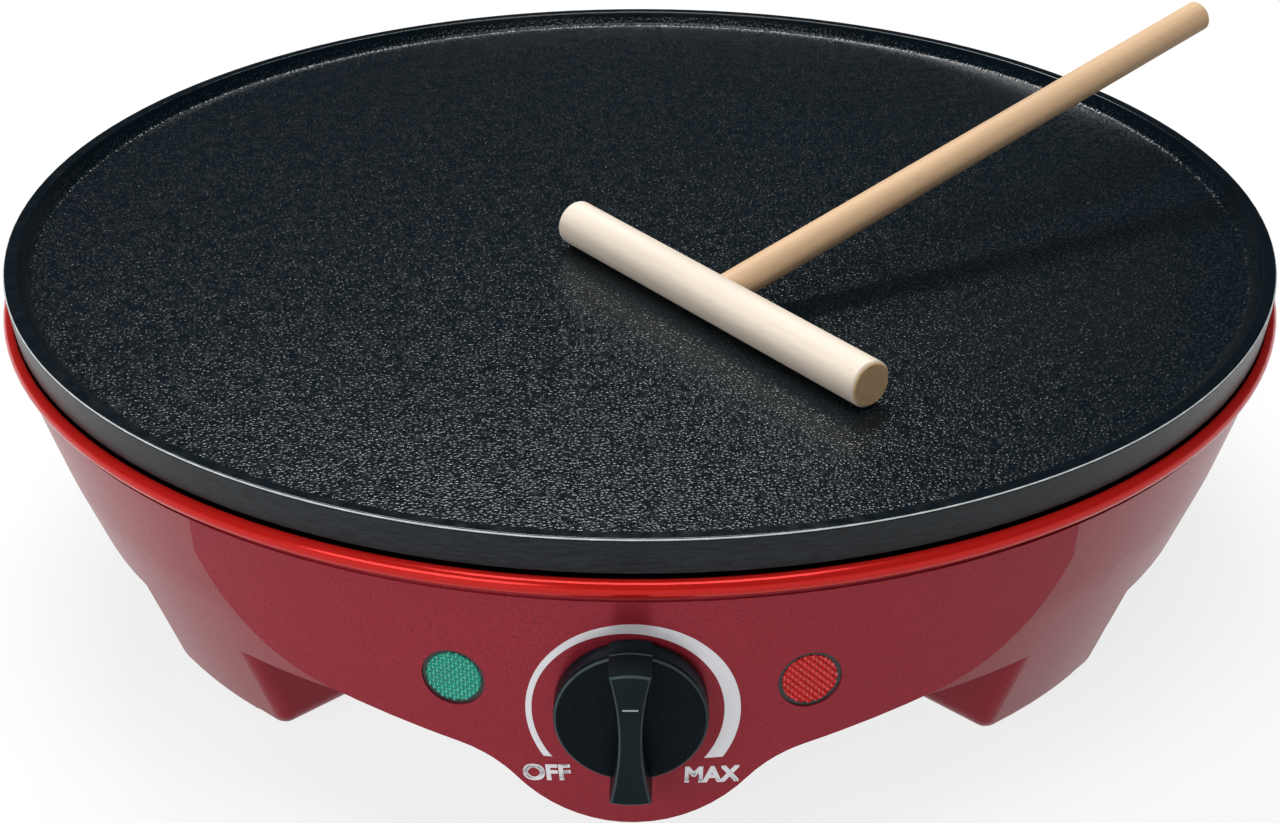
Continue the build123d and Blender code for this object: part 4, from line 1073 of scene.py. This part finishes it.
class CREPE_OT_dress_heater(bpy.types.Operator):
    """Finish the heating element, its fixings and the heat shield"""

    bl_idname = "crepe.dress_heater"
    bl_label = "Dress Heater"

    def execute(self, context):
        element = plain_finish("element_steel", (0.20, 0.19, 0.17), 0.42, 0.9, drift=0.3)
        dress(element, "heating_element")
        dress(plain_finish("white_ceramic", (0.80, 0.78, 0.73), 0.55), "element_insulators")
        plated = brushed_finish("plated_steel", (0.60, 0.59, 0.56), 0.30, (0.2, 1, 1))
        dress(plated, "element_clamps", "element_terminals", "thermostat_tabs")
        dress(plated, "sensor_clip", "fuse_clip", "earth_tag")
        zinc = brushed_finish("inner_screw_zinc", (0.66, 0.66, 0.64), 0.32, (1, 1, 0.2), 2500.0)
        dress(zinc, "clamp_screws", "clip_screws", "earth_screw")
        dress(zinc, "thermostat_screws", "block_screws", "wire_screws")
        shield = brushed_finish("shield_steel", (0.70, 0.70, 0.69), 0.25, (1, 0.05, 1), 500.0)
        dress(shield, "heat_shield")
        board = plain_finish("washer_board", (0.30, 0.25, 0.17), 0.75, depth=0.06, drift=0.2)
        dress(board, "insulating_washers")
        return {"FINISHED"}


class CREPE_OT_dress_wiring(bpy.types.Operator):
    """Finish the thermostat, the fuse, the terminal block and the cord gland"""

    bl_idname = "crepe.dress_wiring"
    bl_label = "Dress Wiring"

    def execute(self, context):
        body = plain_finish("thermostat_body", (0.05, 0.032, 0.024), 0.5, drift=0.2)
        dress(body, "thermostat")
        dress(plain_finish("sensor_copper", (0.72, 0.33, 0.20), 0.3, 1.0), "sensor_bulb")
        dress(plain_finish("fuse_metal", (0.58, 0.57, 0.55), 0.3, 1.0), "thermal_fuse")
        dress(plain_finish("block_plastic", (0.62, 0.61, 0.57), 0.45), "terminal_block")
        dress(plain_finish("sleeve_brass", (0.70, 0.50, 0.20), 0.28, 1.0), "terminal_sleeves")
        rubber = plain_finish("gland_rubber", (0.015, 0.015, 0.016), 0.6, depth=0.04)
        dress(rubber, "cord_gland", "gland_nut")
        tin = brushed_finish("connector_tin", (0.66, 0.62, 0.52), 0.3, (0.3, 1, 1), 1500.0)
        dress(tin, "lead_connectors")
        brown = woven_sleeve("brown_sleeving", (0.17, 0.075, 0.035))
        dress(brown, "line_lead", "heater_lead", "fuse_leads")
        earth = striped_sleeve("earth_sleeving", (0.10, 0.36, 0.06), (0.80, 0.62, 0.04))
        dress(earth, "earth_lead")
        copper = plain_finish("capillary_copper", (0.70, 0.32, 0.19), 0.32, 1.0, drift=0.2)
        dress(copper, "capillary")
        return {"FINISHED"}


# ---------------------------------------------------------------- stage
def add_softbox(name, place, aim, size, power):
    """A rectangular soft light that looks at a point."""
    data = bpy.data.lights.new(name, "AREA")
    data.shape = "RECTANGLE"
    data.size = size[0]
    data.size_y = size[1]
    data.energy = power
    light = bpy.data.objects.new(name, data)
    light.location = place
    light.rotation_euler = (Vector(aim) - Vector(place)).to_track_quat("-Z", "Y").to_euler()
    bpy.context.scene.collection.objects.link(light)


def floor_finish():
    """Matt pale floor that the camera and mirrors see near white, with the object's shadow."""
    lit_tone = 0.35        # what other light meets
    seen_tone = 0.97       # what the camera and mirrors meet
    seen_glow = 0.82       # share of plain white in what they see
    material = bpy.data.materials.new("pale_floor")
    sheet = NodeSheet(material)
    path = sheet.add("ShaderNodeLightPath")
    seen = sheet.calc("ADD", path.outputs["Is Camera Ray"], path.outputs["Is Glossy Ray"])
    seen = sheet.calc("ADD", seen, path.outputs["Is Transmission Ray"])
    matt = sheet.add("ShaderNodeBsdfDiffuse")
    sheet.link(sheet.spread(seen, 0.0, 1.0, lit_tone, seen_tone), matt.inputs["Color"])
    glow = sheet.add("ShaderNodeEmission")
    mix = sheet.add("ShaderNodeMixShader")
    sheet.link(sheet.spread(seen, 0.0, 1.0, 0.0, seen_glow), mix.inputs[0])
    sheet.link(matt.outputs[0], mix.inputs[1])
    sheet.link(glow.outputs[0], mix.inputs[2])
    output = sheet.add("ShaderNodeOutputMaterial")
    sheet.link(mix.outputs[0], output.inputs["Surface"])
    return material


def sky_light():
    """World that is pale low in front and dark overhead and behind, where the lights hang."""
    world = bpy.data.worlds.new("soft_room")
    bpy.context.scene.world = world
    sheet = NodeSheet(world)
    sheet.follow("Generated")
    level = sheet.spread(sheet.part_of("Z"), 0.06, 0.34, 0.85, 0.0, soft=True)
    front = sheet.spread(sheet.part_of("Y"), -0.2, 0.6, 1.0, 0.06, soft=True)
    glow = sheet.calc("ADD", sheet.calc("MULTIPLY", level, front), 0.05)
    background = sheet.add("ShaderNodeBackground")
    sheet.link(glow, background.inputs["Strength"])
    output = sheet.add("ShaderNodeOutputWorld")
    sheet.link(background.outputs["Background"], output.inputs["Surface"])


class CREPE_OT_set_stage(bpy.types.Operator):
    """Lay the floor, hang the lights and stand the camera"""

    bl_idname = "crepe.set_stage"
    bl_label = "Set Stage"

    def execute(self, context):
        settings = context.scene.crepe_stage
        clear_selection()
        bpy.ops.mesh.primitive_plane_add(size=settings.floor_width)
        floor = name_new("floor")
        paint(floor, floor_finish())
        sky_light()
        softboxes = (
            # name, place, aim, size and power
            ("key_light", (0.0, -0.25, 1.9), (0, 0, 0.05), (1.3, 1.0), settings.key_power),
            ("rear_light", (-0.34, 1.16, 1.62), (0, 0, 0.08), (1.1, 0.34), settings.rear_power),
            ("front_light", (-1.2, -1.7, 1.0), (0, 0, 0.05), (1.4, 0.8), settings.front_power),
        )
        for softbox in softboxes:
            add_softbox(*softbox)
        data = bpy.data.cameras.new("camera")
        data.lens = settings.camera_lens
        data.sensor_width = 36.0
        camera = bpy.data.objects.new("camera", data)
        camera.location = settings.camera_place
        camera.rotation_euler = (settings.camera_pitch, 0.0, settings.camera_turn)
        context.scene.collection.objects.link(camera)
        context.scene.camera = camera
        context.scene.view_settings.view_transform = "Standard"
        return {"FINISHED"}


# ---------------------------------------------------------------- panel and registration
class CREPE_PT_sidebar(bpy.types.Panel):
    """Steps that dress the crepe maker, and their settings"""

    bl_label = "Crepe Maker"
    bl_idname = "CREPE_PT_sidebar"
    bl_space_type = "VIEW_3D"
    bl_region_type = "UI"
    bl_category = "Crepe Maker"

    def draw(self, context):
        for step in steps:
            self.layout.operator(step.bl_idname)
        for name in settings_groups:
            group = getattr(context.scene, name)
            box = self.layout.box()
            for key in group.__annotations__:
                box.prop(group, key)


steps = (
    CREPE_OT_set_stage,
    CREPE_OT_dress_base,
    CREPE_OT_dress_underside,
    CREPE_OT_dress_griddle,
    CREPE_OT_print_dial,
    CREPE_OT_dress_knob,
    CREPE_OT_fit_pilot_lamps,
    CREPE_OT_dress_spreader,
    CREPE_OT_dress_heater,
    CREPE_OT_dress_wiring,
)

settings_groups = {
    "crepe_base": CrepeBaseSettings,
    "crepe_griddle": CrepeGriddleSettings,
    "crepe_dial": CrepeDialSettings,
    "crepe_lamps": CrepeLampSettings,
    "crepe_spreader": CrepeSpreaderSettings,
    "crepe_stage": CrepeStageSettings,
}


def register():
    """Register the settings, the steps and the sidebar."""
    for name, group in settings_groups.items():
        bpy.utils.register_class(group)
        setattr(bpy.types.Scene, name, bpy.props.PointerProperty(type=group))
    for step in steps:
        bpy.utils.register_class(step)
    bpy.utils.register_class(CREPE_PT_sidebar)


def unregister():
    """Take the sidebar, the steps and the settings away again."""
    bpy.utils.unregister_class(CREPE_PT_sidebar)
    for step in reversed(steps):
        bpy.utils.unregister_class(step)
    for name, group in settings_groups.items():
        delattr(bpy.types.Scene, name)
        bpy.utils.unregister_class(group)


def main():
    """Dress the whole object."""
    register()
    bpy.ops.crepe.set_stage()
    bpy.ops.crepe.dress_base()
    bpy.ops.crepe.dress_underside()
    bpy.ops.crepe.dress_griddle()
    bpy.ops.crepe.print_dial()
    bpy.ops.crepe.dress_knob()
    bpy.ops.crepe.fit_pilot_lamps()
    bpy.ops.crepe.dress_spreader()
    bpy.ops.crepe.dress_heater()
    bpy.ops.crepe.dress_wiring()


if __name__ == "__main__":
    main()
